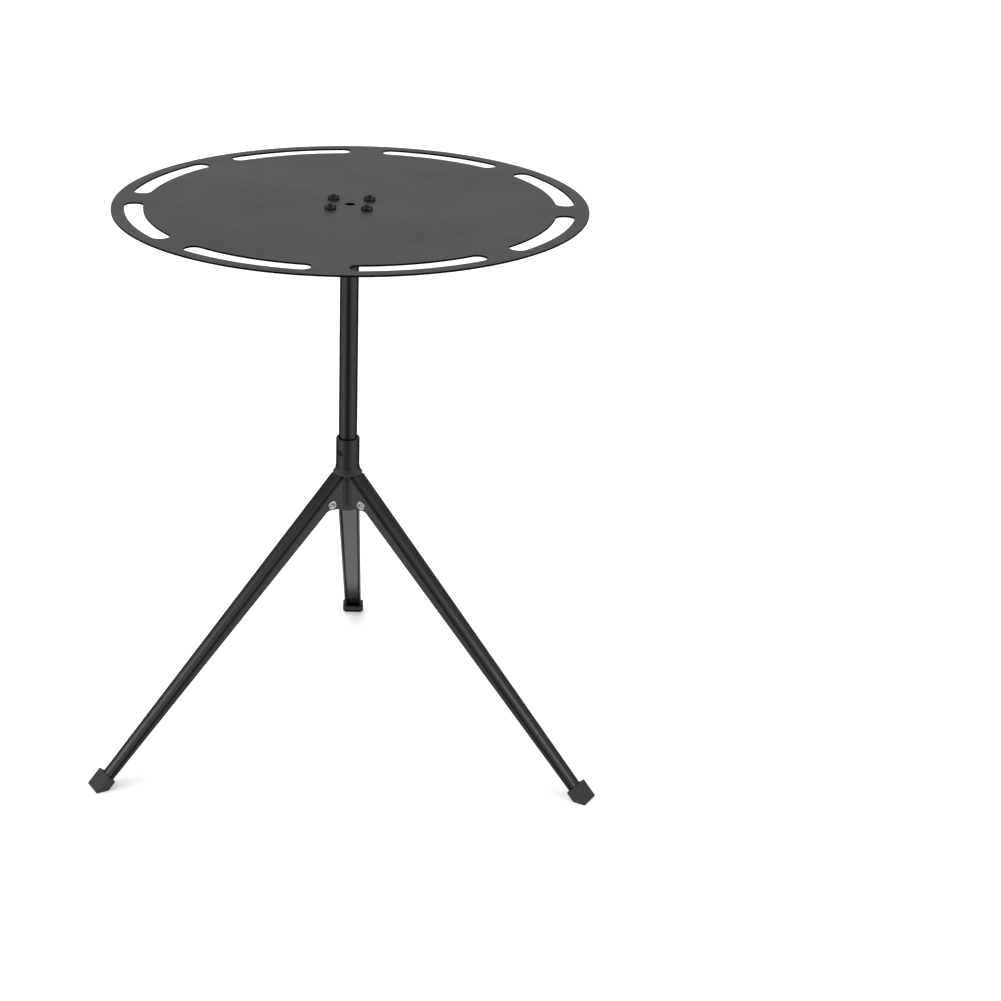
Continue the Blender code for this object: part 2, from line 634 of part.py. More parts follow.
def leg_mesh():
    """Open surface of the channel's outer face in the upright frame, thickened inwards by the sheet."""
    stations = leg_stations()
    columns = len(channel_section(LEG_DEPTH_FOOT, LEG_WIDTH_FOOT))
    mesh = bpy.data.meshes.new("leg_sheet")
    bm = bmesh.new()
    bmesh.ops.create_grid(bm, x_segments=columns - 1, y_segments=len(stations) - 1, size=1.0)
    for vert in bm.verts:
        column = round((vert.co.x + 1.0) / 2.0 * (columns - 1))
        row = round((vert.co.y + 1.0) / 2.0 * (len(stations) - 1))
        x, depth, width = stations[row]
        deep, across = channel_section(depth, width)[column]
        outwards, up = leg_place(x, deep)
        vert.co = (outwards, up, across)
    bmesh.ops.recalc_face_normals(bm, faces=bm.faces)
    web = min(bm.faces, key=lambda face: abs(face.calc_center_median().z))
    if web.normal.dot(Vector((*web_normal(), 0.0))) < 0.0:
        bmesh.ops.reverse_faces(bm, faces=bm.faces)
    bm.to_mesh(mesh)
    bm.free()
    guide = link_cutter("leg_sheet", mesh)
    sheet = guide.modifiers.new("sheet", "SOLIDIFY")
    sheet.thickness = LEG_SHEET
    sheet.offset = -1.0
    sheet.use_even_offset = True
    sheet.use_rim = True
    solid = evaluated_mesh(guide)
    bpy.data.objects.remove(guide, do_unlink=True)
    shade(solid)
    return solid


def make_legs(mat):
    sheet = leg_mesh()
    hole_length = LEG_WIDTH_TOP + 2 * CUT_OVERRUN
    for index, azimuth in enumerate(LEG_AZIMUTHS, start=1):
        pivot = upright(azimuth, PIVOT_RADIUS, PIVOT_HEIGHT)
        mesh = sheet.copy()
        mesh.transform(Matrix.Translation((-PIVOT_RADIUS, -PIVOT_HEIGHT, 0.0)))
        leg = link_part(f"leg_{index}", mesh, mat)
        leg.matrix_world = pivot
        cut = cylinder(f"leg_rivet_hole_{index}", RIVET_SHANK_RADIUS + PIN_GAP, hole_length, PIN_FACETS)
        hole = link_cutter(cut.name, cut)
        hole.matrix_world = pivot
        boolean(leg, hole)


def make_rivets(mat):
    face = LEG_WIDTH_TOP / 2 + GAP
    outer = face + RIVET_HEAD_HEIGHT
    lip = (RIVET_HEAD_RADIUS + RIVET_DIMPLE_RADIUS) / 2
    reach = (RIVET_HEAD_RADIUS - RIVET_DIMPLE_RADIUS) / 2
    floor = outer - RIVET_DIMPLE_DEPTH
    upper = [(0.0, floor), (RIVET_DIMPLE_RADIUS, floor)]
    for i in range(RIVET_LIP_STEPS + 1):
        angle = math.pi * i / RIVET_LIP_STEPS
        upper.append((lip - reach * math.cos(angle), face + (outer - face) * math.sin(angle)))
    upper.append((RIVET_SHANK_RADIUS, face))
    profile = upper + [(radius, -height) for radius, height in reversed(upper)]
    for index, azimuth in enumerate(LEG_AZIMUTHS, start=1):
        mesh = turned(f"leg_rivet_{index}", profile, PIN_FACETS)
        rivet = link_part(f"leg_rivet_{index}", mesh, mat)
        rivet.matrix_world = upright(azimuth, PIVOT_RADIUS, PIVOT_HEIGHT)


def foot_outline(inner_depth):
    """Side outline of a foot in the upright frame: square to the leg above, level with the floor below."""
    outer_depth = -FOOT_OUTER_WALL - GAP
    return [
        leg_place(FOOT_MOUTH_X, outer_depth),
        leg_place(floor_reach(outer_depth), outer_depth),
        leg_place(floor_reach(inner_depth), inner_depth),
        leg_place(FOOT_MOUTH_X, inner_depth),
    ]


def make_feet(mat):
    end = leg_stations()[-1]
    width = end[2] + 2 * GAP + 2 * FOOT_SIDE_WALL
    inner_depth = LEG_DEPTH_FOOT + GAP + FOOT_OUTER_WALL
    pocket_x = LEG_END_X + GAP
    pocket = [
        leg_place(FOOT_MOUTH_X - CUT_OVERRUN, -GAP),
        leg_place(FOOT_MOUTH_X - CUT_OVERRUN, LEG_DEPTH_FOOT + GAP),
        leg_place(pocket_x, LEG_DEPTH_FOOT + GAP),
        leg_place(pocket_x, -GAP),
    ]
    for index, azimuth in enumerate(LEG_AZIMUTHS, start=1):
        mesh = flat_plate(f"foot_{index}", [foot_outline(inner_depth)], width)
        round_edges(mesh, FOOT_EDGE_ROUND, 2)
        shade(mesh)
        foot = link_part(f"foot_{index}", mesh, mat)
        foot.matrix_world = upright(azimuth)
        cut = flat_plate(f"foot_pocket_{index}", [pocket], end[2] + 2 * GAP)
        cutter = link_cutter(cut.name, cut)
        cutter.matrix_world = upright(azimuth)
        boolean(foot, cutter)


def main():
    clear_scene()
    new_collection(PARTS_NAME)
    new_collection(CUTTERS_NAME)
    top_coat = material("top_dark_grey", (0.090, 0.091, 0.093), 0.45, 0.3)
    leg_coat = material("leg_black", (0.028, 0.028, 0.030), 0.35, 0.3)
    pole_coat = material("pole_black", (0.020, 0.020, 0.022), 0.30, 0.4)
    hub_coat = material("hub_black", (0.030, 0.030, 0.032), 0.35, 0.4)
    black_oxide = material("screw_black_oxide", (0.020, 0.020, 0.021), 0.35, 0.7)
    bright_steel = material("rivet_bright_steel", (0.72, 0.72, 0.70), 0.25, 1.0)
    plug_coat = material("plug_black", (0.024, 0.024, 0.026), 0.34, 0.4)
    flange_coat = material("flange_black", (0.032, 0.032, 0.034), 0.40, 0.4)
    foot_rubber = material("foot_dark_grey", (0.075, 0.075, 0.077), 0.75, 0.0)
    make_tabletop(top_coat)
    make_flange(flange_coat)
    make_flange_screws(black_oxide)
    make_pole(pole_coat, plug_coat)
    make_hub(hub_coat)
    make_set_screw(black_oxide)
    make_legs(leg_coat)
    make_rivets(bright_steel)
    make_feet(foot_rubber)


main()
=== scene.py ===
"""Look of the camping table: detailed pieces, coats, floor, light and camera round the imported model."""

import math

import bmesh
import bpy
from mathutils import Matrix, Vector


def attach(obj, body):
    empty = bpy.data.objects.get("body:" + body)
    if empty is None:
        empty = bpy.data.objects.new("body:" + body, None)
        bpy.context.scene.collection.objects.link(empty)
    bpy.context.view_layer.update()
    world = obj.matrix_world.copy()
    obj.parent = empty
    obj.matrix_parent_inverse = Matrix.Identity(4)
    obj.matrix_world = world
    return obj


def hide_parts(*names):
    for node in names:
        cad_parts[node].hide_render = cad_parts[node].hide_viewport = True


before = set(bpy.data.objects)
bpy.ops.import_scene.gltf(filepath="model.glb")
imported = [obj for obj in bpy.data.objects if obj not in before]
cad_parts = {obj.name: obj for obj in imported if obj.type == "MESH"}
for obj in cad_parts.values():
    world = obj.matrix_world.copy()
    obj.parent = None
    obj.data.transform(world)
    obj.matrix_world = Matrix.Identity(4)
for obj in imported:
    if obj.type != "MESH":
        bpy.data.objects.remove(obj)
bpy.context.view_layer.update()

MM = 0.001
GAP = 0.3 * MM                  # clearance between pieces that touch on the real table
WELD = 0.0005 * MM              # points closer than this become one
ON_AXIS = 0.0001 * MM           # a smaller radius is a point on the axis
OVERLAP = 0.1 * MM              # how far the bodies of one piece run into each other
CUT_PAST = 1.0 * MM             # how far a cutter runs past the surface
TURNED_STEPS = 128
HOLE_STEPS = 40

# Tabletop
TOP_HEIGHT = 522.0 * MM
TOP_RADIUS = 210.0 * MM
TOP_THICKNESS = 1.8 * MM
TOP_YAW = math.radians(-3.0)
TOP_EDGE = 0.35 * MM
CENTRE_HOLE_RADIUS = 4.3 * MM
SLOT_COUNT = 8
SLOT_OUTER = 198.2 * MM
SLOT_INNER = 181.8 * MM
SLOT_SPAN = math.radians(35.6)
SLOT_CORNER = 7.5 * MM
RIM_STEPS = 360

# Screws and flange
SCREW_SQUARE = 32.0 * MM
SCREW_TURN = math.radians(17.0)
SHANK_RADIUS = 3.0 * MM
SHANK_HOLE = SHANK_RADIUS + GAP
SHANK_CHAMFER = 0.3 * MM
SCREW_PITCH = 1.0 * MM
SCREW_THREAD = 0.5 * MM
SCREW_TIP = 1.5 * MM
HEAD_RADIUS = 5.25 * MM
HEAD_HEIGHT = 3.3 * MM
HEAD_SIDE = 0.55 * MM
HEAD_CHAMFER = 0.15 * MM
HEAD_FLAT = 3.0 * MM
DOME_START = 3.3 * MM
SOCKET_FLATS = 4.0 * MM
SOCKET_DEPTH = 1.9 * MM
SOCKET_LIP = 2.5 * MM
SOCKET_FLARE = 0.15 * MM
FLARE_ABOVE = 0.2 * MM
FLARE_BELOW = 0.4 * MM
FLANGE_TOP = 519.9 * MM
FLANGE_BOTTOM = 516.4 * MM
FLANGE_RADIUS = 30.0 * MM
BOSS_RADIUS = 11.0 * MM
BOSS_BOTTOM = 508.6 * MM
BOSS_CHAMFER = 0.6 * MM

# Pole
POLE_RADIUS = 8.5 * MM
POLE_WALL = 1.2 * MM
POLE_BOTTOM = 268.3 * MM
POLE_TOP = 508.3 * MM
POLE_EDGE = 0.3 * MM
COLLAR = 28.0 * MM
SPIGOT = 12.0 * MM
NECK_RADIUS = 3.2 * MM
NECK_LENGTH = 1.3 * MM
STUD_RADIUS = 4.0 * MM
STUD_LENGTH = 10.0 * MM
STUD_PITCH = 1.25 * MM
STUD_THREAD = 0.6 * MM

# Hub
SLEEVE_RADIUS = 10.9 * MM
SLEEVE_TOP = 302.0 * MM
SLEEVE_FLOOR = 268.0 * MM
SLEEVE_BEVEL = 0.75 * MM
SLEEVE_EDGE = 1.1 * MM
WELL_DEPTH = 12.0 * MM
RING_RADIUS = 11.4 * MM
RING_TOP = 273.8 * MM
RING_BOTTOM = 271.4 * MM
RING_SLANT = 0.1 * MM
CONE_RADIUS = 13.7 * MM
CONE_FOOT = 268.0 * MM
CONE_UNDERSIDE = 267.3 * MM
CORE_RADIUS = 8.8 * MM
CORE_BOTTOM = 231.0 * MM
TONGUE_ROOT = 5.8 * MM
TONGUE_DROP = 5.5 * MM
TONGUE_EDGE = 0.4 * MM
SET_SCREW_HEIGHT = 288.8 * MM
SET_SCREW_AZIMUTH = math.radians(231.5)
SET_SCREW_RADIUS = 2.8 * MM
SET_SCREW_RECESS = 0.8 * MM
SET_SCREW_CHAMFER = 0.3 * MM
SET_SCREW_FLATS = 2.5 * MM
SET_SCREW_SOCKET = 0.9 * MM

# Legs
AZIMUTHS = [math.radians(a) for a in (90.0, 210.0, 330.0)]
SLOPE = math.radians(46.9)
PIVOT_RADIUS = 21.3 * MM
PIVOT_HEIGHT = 241.6 * MM
SHEET = 1.5 * MM
WIDTH_TOP = 20.6 * MM
WIDTH_FOOT = 17.1 * MM
BEND = 4.5 * MM
WEB_TO_PIVOT = 11.1 * MM
DEPTH_LUG_END = 12.0 * MM
DEPTH_FOOT = 4.9 * MM
STRAIGHT_BELOW_PIVOT = 14.0 * MM
LUG_END_RADIUS = 10.3 * MM
LUG_DROP = 5.5 * MM
LUG_PEAK_BEND = 2.6 * MM
LUG_TAIL_BEND = 5.0 * MM
SHEET_EDGE = 0.3 * MM
END_BEVEL = 0.18 * MM
CROWN = math.radians(8.0)
CROWN_STEPS = 4
BEND_STEPS = 8
STATION_SPACING = 12.0 * MM

# Rivets
RIVET_SHANK = 2.6 * MM
PIVOT_HOLE = RIVET_SHANK + 0.2 * MM
RIVET_DIMPLE = 1.6 * MM
DIMPLE_DEPTH = 1.3 * MM
RIVET_HEAD = 4.4 * MM
RIVET_HEAD_HEIGHT = 1.1 * MM
LIP_POWER = 0.8

# Feet
FOOT_SIDE_WALL = 1.9 * MM
FOOT_OUTER_WALL = 2.1 * MM
FOOT_LENGTH = 19.6 * MM
FOOT_GRIP = 8.8 * MM
FOOT_EDGE = 0.9 * MM
SOLE_EDGE = 1.4 * MM
POCKET_PAST = 2.0 * MM
POCKET_EDGE = 0.05 * MM

# Coats as (dark tone, light tone, roughness range)
TOP_TONES = ((0.016, 0.0162, 0.017), (0.0215, 0.0217, 0.0225), (0.44, 0.52))
# Near-black colour of the top's upright edges: painted shade
TOP_EDGE_PAINTED_SHADE = (0.003, 0.003, 0.0032, 1.0)
LEG_TONES = ((0.011, 0.011, 0.0115), (0.016, 0.016, 0.0165), (0.20, 0.27))
FLANGE_TONES = ((0.020, 0.020, 0.021), (0.028, 0.028, 0.029), (0.34, 0.44))
TUBE_TONES = ((0.010, 0.010, 0.0105), (0.014, 0.014, 0.0145), (0.18, 0.26))
HUB_TONES = ((0.015, 0.015, 0.016), (0.022, 0.022, 0.023), (0.26, 0.36))
# Lighter colour of the hub below its ring: painted light
HUB_PAINTED_LIGHT_TONE = (0.060, 0.060, 0.061, 1.0)
OXIDE_TONES = ((0.056, 0.056, 0.056), (0.094, 0.093, 0.091), (0.42, 0.54))
STEEL_TONES = ((0.60, 0.60, 0.59), (0.86, 0.86, 0.84), (0.20, 0.36))
RUBBER_TONES = ((0.036, 0.036, 0.037), (0.050, 0.050, 0.051), (0.52, 0.70))
TOP_GRAIN = 0.9 * MM
COAT_GRAIN = 0.7 * MM

# Studio. Limits are where a light fades in or out along an axis of the direction
BASE_LIGHT = 0.02
SIDE_LIGHT = 1.05
SIDE_OFFSET = 0.06
SIDE_SPREAD = (0.14, 0.56)
SIDE_BACK = (0.05, 0.40)
SIDE_BOTTOM = (-0.47, -0.38)
SIDE_TOP = (0.60, 0.85)
BEHIND_LIGHT = 1.04
BEHIND_FRONT = (0.45, 0.75)
BEHIND_SPREAD = (0.30, 0.56)
BEHIND_BOTTOM = (-0.02, 0.16)
BEHIND_TOP = (0.50, 0.75)
BELOW_LIGHT = 1.16
BELOW_DEPTH = (0.72, 0.88)
GLINT_LIGHT = 5.6
WEB_LIGHT = 0.33
FLANK_LIGHT = 1.3
SCATTERED_SHARE = 0.7

# Small lamps of the studio as (direction, outer angle, inner angle, strength)
LAMPS = [
    ((-0.860, 0.392, 0.326), 6.5, 2.0, 0.75 * GLINT_LIGHT),     # bend of the left leg
    ((0.868, 0.200, 0.454), 6.5, 2.0, GLINT_LIGHT),             # bend of the right leg
    ((-0.72, 0.62, 0.24), 24.0, 10.0, 0.5 * WEB_LIGHT),         # web of the left leg
    ((0.73, 0.60, 0.26), 28.0, 14.0, WEB_LIGHT),                # web of the right leg
    ((0.76, -0.50, -0.42), 9.0, 3.0, FLANK_LIGHT),              # flanks of the front legs
    ((-0.79, -0.46, -0.41), 9.0, 3.0, FLANK_LIGHT),
]
SUN_ENERGY = 3.0
SUN_ANGLE = math.radians(80.0)
SUN_TURN = (math.radians(-8.0), math.radians(-14.0), 0.0)
FLOOR_HALF = 14.0
FLOOR_TONE = (0.86, 0.86, 0.86, 1.0)
FLOOR_GLOW = 0.42
CARD_HALF = 0.03
CARD_NEAR = 0.238
CARD_FAR = 0.30
CARD_SUNK = 0.5 * MM
CARD_TONE = (0.28, 0.28, 0.28, 1.0)
WHITE = (1.0, 1.0, 1.0, 1.0)

# Camera, fitted to the photograph
LENS = 78.818
SHIFT = (0.153145, 0.011593)
CAMERA_PLACE = (0.05432, -1.87802, 1.0417)
CAMERA_TURN = (66.5371, -0.5, 1.8739)


# Meshes

def finish_mesh(bm, name):
    bmesh.ops.remove_doubles(bm, verts=bm.verts, dist=WELD)
    bmesh.ops.recalc_face_normals(bm, faces=bm.faces)
    mesh = bpy.data.meshes.new(name)
    bm.to_mesh(mesh)
    bm.free()
    return mesh


def evaluated(obj):
    bpy.context.view_layer.update()
    graph = bpy.context.evaluated_depsgraph_get()
    return bpy.data.meshes.new_from_object(obj.evaluated_get(graph), depsgraph=graph)


def temporary(name, mesh):
    obj = bpy.data.objects.new(name, mesh)
    bpy.context.scene.collection.objects.link(obj)
    return obj


def cut_from(mesh, cutters):
    """Mesh with the cutter meshes taken away from it."""
    target = temporary("cut_target", mesh)
    tools = []
    for index, cutter in enumerate(cutters):
        tool = temporary(f"cut_tool_{index}", cutter)
        mod = target.modifiers.new(f"cut_{index}", "BOOLEAN")
        mod.operation = "DIFFERENCE"
        mod.solver = "EXACT"
        mod.object = tool
        tools.append(tool)
    result = evaluated(target)
    for obj in [target, *tools]:
        bpy.data.objects.remove(obj, do_unlink=True)
    return result


def joined(meshes, name):
    bm = bmesh.new()
    for mesh in meshes:
        bm.from_mesh(mesh)
    mesh = bpy.data.meshes.new(name)
    bm.to_mesh(mesh)
    bm.free()
    return mesh


def moved(mesh, matrix):
    copy = mesh.copy()
    copy.transform(matrix)
    return copy


def rounded(corners, steps=4, closed=True):
    """Outline through (x, y, corner radius) points with its corners rounded by arcs."""
    straight = math.radians(179.0)
    largest_share = 0.48
    count = len(corners)
    points = []
    for i, (x, y, radius) in enumerate(corners):
        here = Vector((x, y))
        if radius <= 0.0 or (not closed and i in (0, count - 1)):
            points.append((x, y))
            continue
        before = Vector(corners[i - 1][:2])
        after = Vector(corners[(i + 1) % count][:2])
        a = (before - here).normalized()
        b = (after - here).normalized()
        angle = math.acos(max(-1.0, min(1.0, a.dot(b))))
        if angle > straight:
            points.append((x, y))
            continue
        reach = radius / math.tan(angle / 2)
        limit = largest_share * min((before - here).length, (after - here).length)
        if reach > limit:
            radius *= limit / reach
            reach = limit
        centre = here + (a + b).normalized() * (radius / math.sin(angle / 2))
        start = here + a * reach - centre
        end = here + b * reach - centre
        turn = start.angle_signed(end)
        for k in range(steps + 1):
            theta = -turn * k / steps
            c, s = math.cos(theta), math.sin(theta)
            points.append((centre.x + start.x * c - start.y * s, centre.y + start.x * s + start.y * c))
    return points


def lathe(name, profile, segments=96):
    """Closed profile of (radius, height) points turned about Z."""
    bm = bmesh.new()
    rings = []
    for radius, height in profile:
        if radius < ON_AXIS:
            rings.append([bm.verts.new((0.0, 0.0, height))])
            continue
        ring = []
        for i in range(segments):
            angle = 2 * math.pi * i / segments
            ring.append(bm.verts.new((radius * math.cos(angle), radius * math.sin(angle), height)))
        rings.append(ring)
    for i, ring in enumerate(rings):
        other = rings[(i + 1) % len(rings)]
        if len(ring) == 1 and len(other) == 1:
            continue
        for k in range(segments):
            m = (k + 1) % segments
            if len(ring) == 1:
                bm.faces.new((ring[0], other[k], other[m]))
            elif len(other) == 1:
                bm.faces.new((ring[k], ring[m], other[0]))
            else:
                bm.faces.new((ring[k], ring[m], other[m], other[k]))
    return finish_mesh(bm, name)


def rod(name, radius, low, high, segments=48):
    return lathe(name, [(0.0, high), (radius, high), (radius, low), (0.0, low)], segments)


def hexagon(name, flats, low, high):
    corner = flats / math.sqrt(3.0)
    return lathe(name, [(0.0, high), (corner, high), (corner, low), (0.0, low)], 6)


def loop_normals(points, inward):
    """Unit vector into the material at each point of a closed outline that runs counter-clockwise."""
    normals = []
    count = len(points)
    for i in range(count):
        ax, ay = points[i - 1]
        bx, by = points[(i + 1) % count]
        dx, dy = bx - ax, by - ay
        length = math.hypot(dx, dy) or 1.0
        normals.append((-dy / length * inward, dx / length * inward))
    return normals


def sheet_mesh(name, outer, holes, thickness, edge, steps=3):
    """Flat sheet centred on its own XY plane, with all its edges rounded."""
    rows = []
    for k in range(steps + 1):
        angle = math.pi / 2 * k / steps
        rows.append((edge * (1.0 - math.sin(angle)), thickness / 2 - edge * (1.0 - math.cos(angle))))
    rows += [(inset, -height) for inset, height in reversed(rows)]
    bm = bmesh.new()
    rims = {0: [], len(rows) - 1: []}
    faces = {}
    for points, inward in [(outer, 1.0)] + [(hole, -1.0) for hole in holes]:
        normals = loop_normals(points, inward)
        rings = []
        for inset, height in rows:
            ring = []
            for (x, y), (nx, ny) in zip(points, normals):
                ring.append(bm.verts.new((x + nx * inset, y + ny * inset, height)))
            rings.append(ring)
        for ring, other in zip(rings, rings[1:]):
            for i in range(len(points)):
                m = (i + 1) % len(points)
                bm.faces.new((ring[i], ring[m], other[m], other[i]))
        for row in rims:
            ring = rings[row]
            faces[row] = ring
            for i in range(len(points)):
                rims[row].append(bm.edges.get((ring[i], ring[(i + 1) % len(points)])))
    for row, edges in rims.items():
        if holes:
            bmesh.ops.triangle_fill(bm, use_beauty=True, edges=edges)
        else:
            bm.faces.new(faces[row])
    return finish_mesh(bm, name)


def prism(name, outline, thickness, edge, steps=3):
    return sheet_mesh(name, outline, [], thickness, edge, steps)


def counter_clockwise(points):
    area = sum(a[0] * b[1] - b[0] * a[1] for a, b in zip(points, points[1:] + points[:1]))
    return points if area > 0.0 else list(reversed(points))


def upright(azimuth, radius=0.0, height=0.0):
    """Frame whose X points outwards at the azimuth, Y points up and Z lies across."""
    outwards = Vector((math.cos(azimuth), math.sin(azimuth), 0.0))
    up = Vector((0.0, 0.0, 1.0))
    turn = Matrix((outwards, up, outwards.cross(up))).transposed().to_4x4()
    turn.translation = outwards * radius + up * height
    return turn


# Materials

class Graph:
    """Small helper round one material's nodes."""

    def __init__(self, name):
        self.material = bpy.data.materials.new(name)
        self.material.use_nodes = True
        self.tree = self.material.node_tree
        self.shader = self.tree.nodes["Principled BSDF"]
        self.place = self.add("ShaderNodeTexCoord").outputs["Object"]

    def add(self, kind, **values):
        node = self.tree.nodes.new(kind)
        for key, value in values.items():
            setattr(node, key, value)
        return node

    def link(self, out, into):
        self.tree.links.new(out, into)

    def stretched(self, scale, turn=(0.0, 0.0, 0.0)):
        node = self.add("ShaderNodeMapping")
        node.inputs["Scale"].default_value = scale
        node.inputs["Rotation"].default_value = turn
        self.link(self.place, node.inputs["Vector"])
        return node.outputs["Vector"]

    def noise(self, scale, detail=4.0, roughness=0.55, vector=None, distortion=0.0):
        node = self.add("ShaderNodeTexNoise")
        node.inputs["Scale"].default_value = scale
        node.inputs["Detail"].default_value = detail
        node.inputs["Roughness"].default_value = roughness
        node.inputs["Distortion"].default_value = distortion
        self.link(self.place if vector is None else vector, node.inputs["Vector"])
        return node.outputs["Fac"]

    def cells(self, scale, vector=None):
        node = self.add("ShaderNodeTexVoronoi")
        node.inputs["Scale"].default_value = scale
        self.link(self.place if vector is None else vector, node.inputs["Vector"])
        return node.outputs["Distance"]

    def spread(self, value, low, high, from_low=0.3, from_high=0.7):
        node = self.add("ShaderNodeMapRange")
        node.inputs["From Min"].default_value = from_low
        node.inputs["From Max"].default_value = from_high
        node.inputs["To Min"].default_value = low
        node.inputs["To Max"].default_value = high
        self.link(value, node.inputs["Value"])
        return node.outputs["Result"]

    def math(self, operation, a, b):
        node = self.add("ShaderNodeMath", operation=operation)
        for socket, value in zip(node.inputs, (a, b)):
            if isinstance(value, (int, float)):
                socket.default_value = value
            else:
                self.link(value, socket)
        return node.outputs[0]

    def tint(self, value, dark, light):
        node = self.add("ShaderNodeValToRGB")
        node.color_ramp.elements[0].position = 0.30
        node.color_ramp.elements[1].position = 0.70
        node.color_ramp.elements[0].color = (*dark, 1.0)
        node.color_ramp.elements[1].color = (*light, 1.0)
        self.link(value, node.inputs["Fac"])
        return node.outputs["Color"]

    def bump(self, layers):
        """Chains (height, strength, distance) layers into the shader's normal."""
        normal = None
        for height, strength, distance in layers:
            node = self.add("ShaderNodeBump")
            node.inputs["Strength"].default_value = strength
            node.inputs["Distance"].default_value = distance
            self.link(height, node.inputs["Height"])
            if normal is not None:
                self.link(normal, node.inputs["Normal"])
            normal = node.outputs["Normal"]
        self.link(normal, self.shader.inputs["Normal"])

    def set(self, name, value):
        self.shader.inputs[name].default_value = value


def powder_coat(name, dark, light, rough, grain, painted_edge_shade=False):
    """Sprayed coat: faint clouds of tone, an orange-peel skin and a few softer handling marks.

    With painted_edge_shade, faces that stand upright get painted shade: a near-black colour and no
    specular reflection, standing in for the shade on the near black edges of a sheet.
    """
    g = Graph(name)
    clouds = g.noise(14.0, 5.0, 0.6)
    speck = g.noise(1500.0, 2.0, 0.5)
    tone = g.math("ADD", g.math("MULTIPLY", clouds, 0.65), g.math("MULTIPLY", speck, 0.35))
    colour = g.tint(tone, dark, light)
    if painted_edge_shade:
        # Painted shade: upright faces fade to a near-black colour and lose their specular reflection
        split = g.add("ShaderNodeSeparateXYZ")
        g.link(g.add("ShaderNodeTexCoord").outputs["Normal"], split.inputs[0])
        flat = g.spread(g.math("ABSOLUTE", split.outputs["Z"], 0.0), 0.0, 1.0, 0.35, 0.85)
        mix = g.add("ShaderNodeMix", data_type="RGBA")
        mix.inputs["A"].default_value = TOP_EDGE_PAINTED_SHADE
        g.link(flat, mix.inputs["Factor"])
        g.link(colour, mix.inputs["B"])
        colour = mix.outputs["Result"]
        g.link(g.math("MULTIPLY", flat, 0.5), g.shader.inputs["Specular IOR Level"])
    g.link(colour, g.shader.inputs["Base Color"])
    marks = g.noise(60.0, 6.0, 0.7, g.stretched((1.0, 6.0, 1.0), (0.0, 0.0, 0.6)))
    worn = g.math("ADD", g.math("MULTIPLY", clouds, 0.5), g.math("MULTIPLY", marks, 0.5))
    g.link(g.spread(worn, rough[0], rough[1], 0.35, 0.65), g.shader.inputs["Roughness"])
    peel = g.noise(1.0 / grain, 3.0, 0.5)
    fine = g.noise(4.0 / grain, 2.0, 0.5)
    g.bump([(peel, 0.22, 0.05 * MM), (fine, 0.12, 0.02 * MM)])
    return g.material


def drawn_tube_coat(name, dark, light, rough):
    """Smooth coat on a drawn tube: fine lines along the tube under the gloss."""
    g = Graph(name)
    lines = g.noise(900.0, 3.0, 0.6, g.stretched((1.0, 1.0, 0.012)))
    clouds = g.noise(35.0, 4.0, 0.55)
    g.link(g.tint(clouds, dark, light), g.shader.inputs["Base Color"])
    mixed = g.math("ADD", g.math("MULTIPLY", lines, 0.6), g.math("MULTIPLY", clouds, 0.4))
    g.link(g.spread(mixed, rough[0], rough[1], 0.35, 0.65), g.shader.inputs["Roughness"])
    skin = g.noise(700.0, 2.0, 0.5)
    g.bump([(lines, 0.10, 0.02 * MM), (skin, 0.06, 0.02 * MM)])
    return g.material


def cast_coat_with_painted_light(name, dark, light, rough):
    """Satin coat over a body that is turned above its ring and a duller casting below it, where painted
    light makes the colour lighter to even out the shade under the cone.
    """
    g = Graph(name)
    clouds = g.noise(90.0, 5.0, 0.6)
    split = g.add("ShaderNodeSeparateXYZ")
    g.link(g.place, split.inputs[0])
    # Painted light: from the ring down over the cone the base colour fades to a lighter tone, evening out
    # the shade under the cone; the added roughness there is the casting's own
    cast_and_painted_light = g.spread(split.outputs["Z"], 1.0, 0.0, CONE_UNDERSIDE - 2.0 * MM, RING_TOP)
    mix = g.add("ShaderNodeMix", data_type="RGBA")
    mix.inputs["B"].default_value = HUB_PAINTED_LIGHT_TONE
    g.link(cast_and_painted_light, mix.inputs["Factor"])
    g.link(g.tint(clouds, dark, light), mix.inputs["A"])
    g.link(mix.outputs["Result"], g.shader.inputs["Base Color"])
    satin = g.spread(clouds, rough[0], rough[1], 0.35, 0.65)
    g.link(g.math("ADD", satin, g.math("MULTIPLY", cast_and_painted_light, 0.25)), g.shader.inputs["Roughness"])
    lumps = g.noise(260.0, 4.0, 0.6)
    grain = g.noise(1700.0, 3.0, 0.6)
    turned = g.noise(1600.0, 2.0, 0.5, g.stretched((0.02, 0.02, 1.0)))
    g.bump([(lumps, 0.16, 0.10 * MM), (grain, 0.20, 0.03 * MM), (turned, 0.08, 0.02 * MM)])
    return g.material


def black_oxide(name, dark, light, rough):
    """Blackened screw steel, dull with a trace of sheen."""
    g = Graph(name)
    clouds = g.noise(420.0, 4.0, 0.6)
    g.link(g.tint(clouds, dark, light), g.shader.inputs["Base Color"])
    g.link(g.spread(clouds, rough[0], rough[1]), g.shader.inputs["Roughness"])
    grain = g.noise(2600.0, 2.0, 0.5)
    g.bump([(grain, 0.25, 0.02 * MM)])
    g.set("Metallic", 1.0)
    return g.material


def bright_steel(name, dark, light, rough):
    """Plated rivet steel with the fine scuffs of the setting tool."""
    g = Graph(name)
    clouds = g.noise(700.0, 4.0, 0.6)
    g.link(g.tint(clouds, dark, light), g.shader.inputs["Base Color"])
    g.link(g.spread(clouds, rough[0], rough[1]), g.shader.inputs["Roughness"])
    dents = g.noise(900.0, 2.0, 0.5)
    scuffs = g.noise(5000.0, 2.0, 0.6)
    g.bump([(dents, 0.35, 0.05 * MM), (scuffs, 0.20, 0.01 * MM)])
    g.set("Metallic", 1.0)
    return g.material


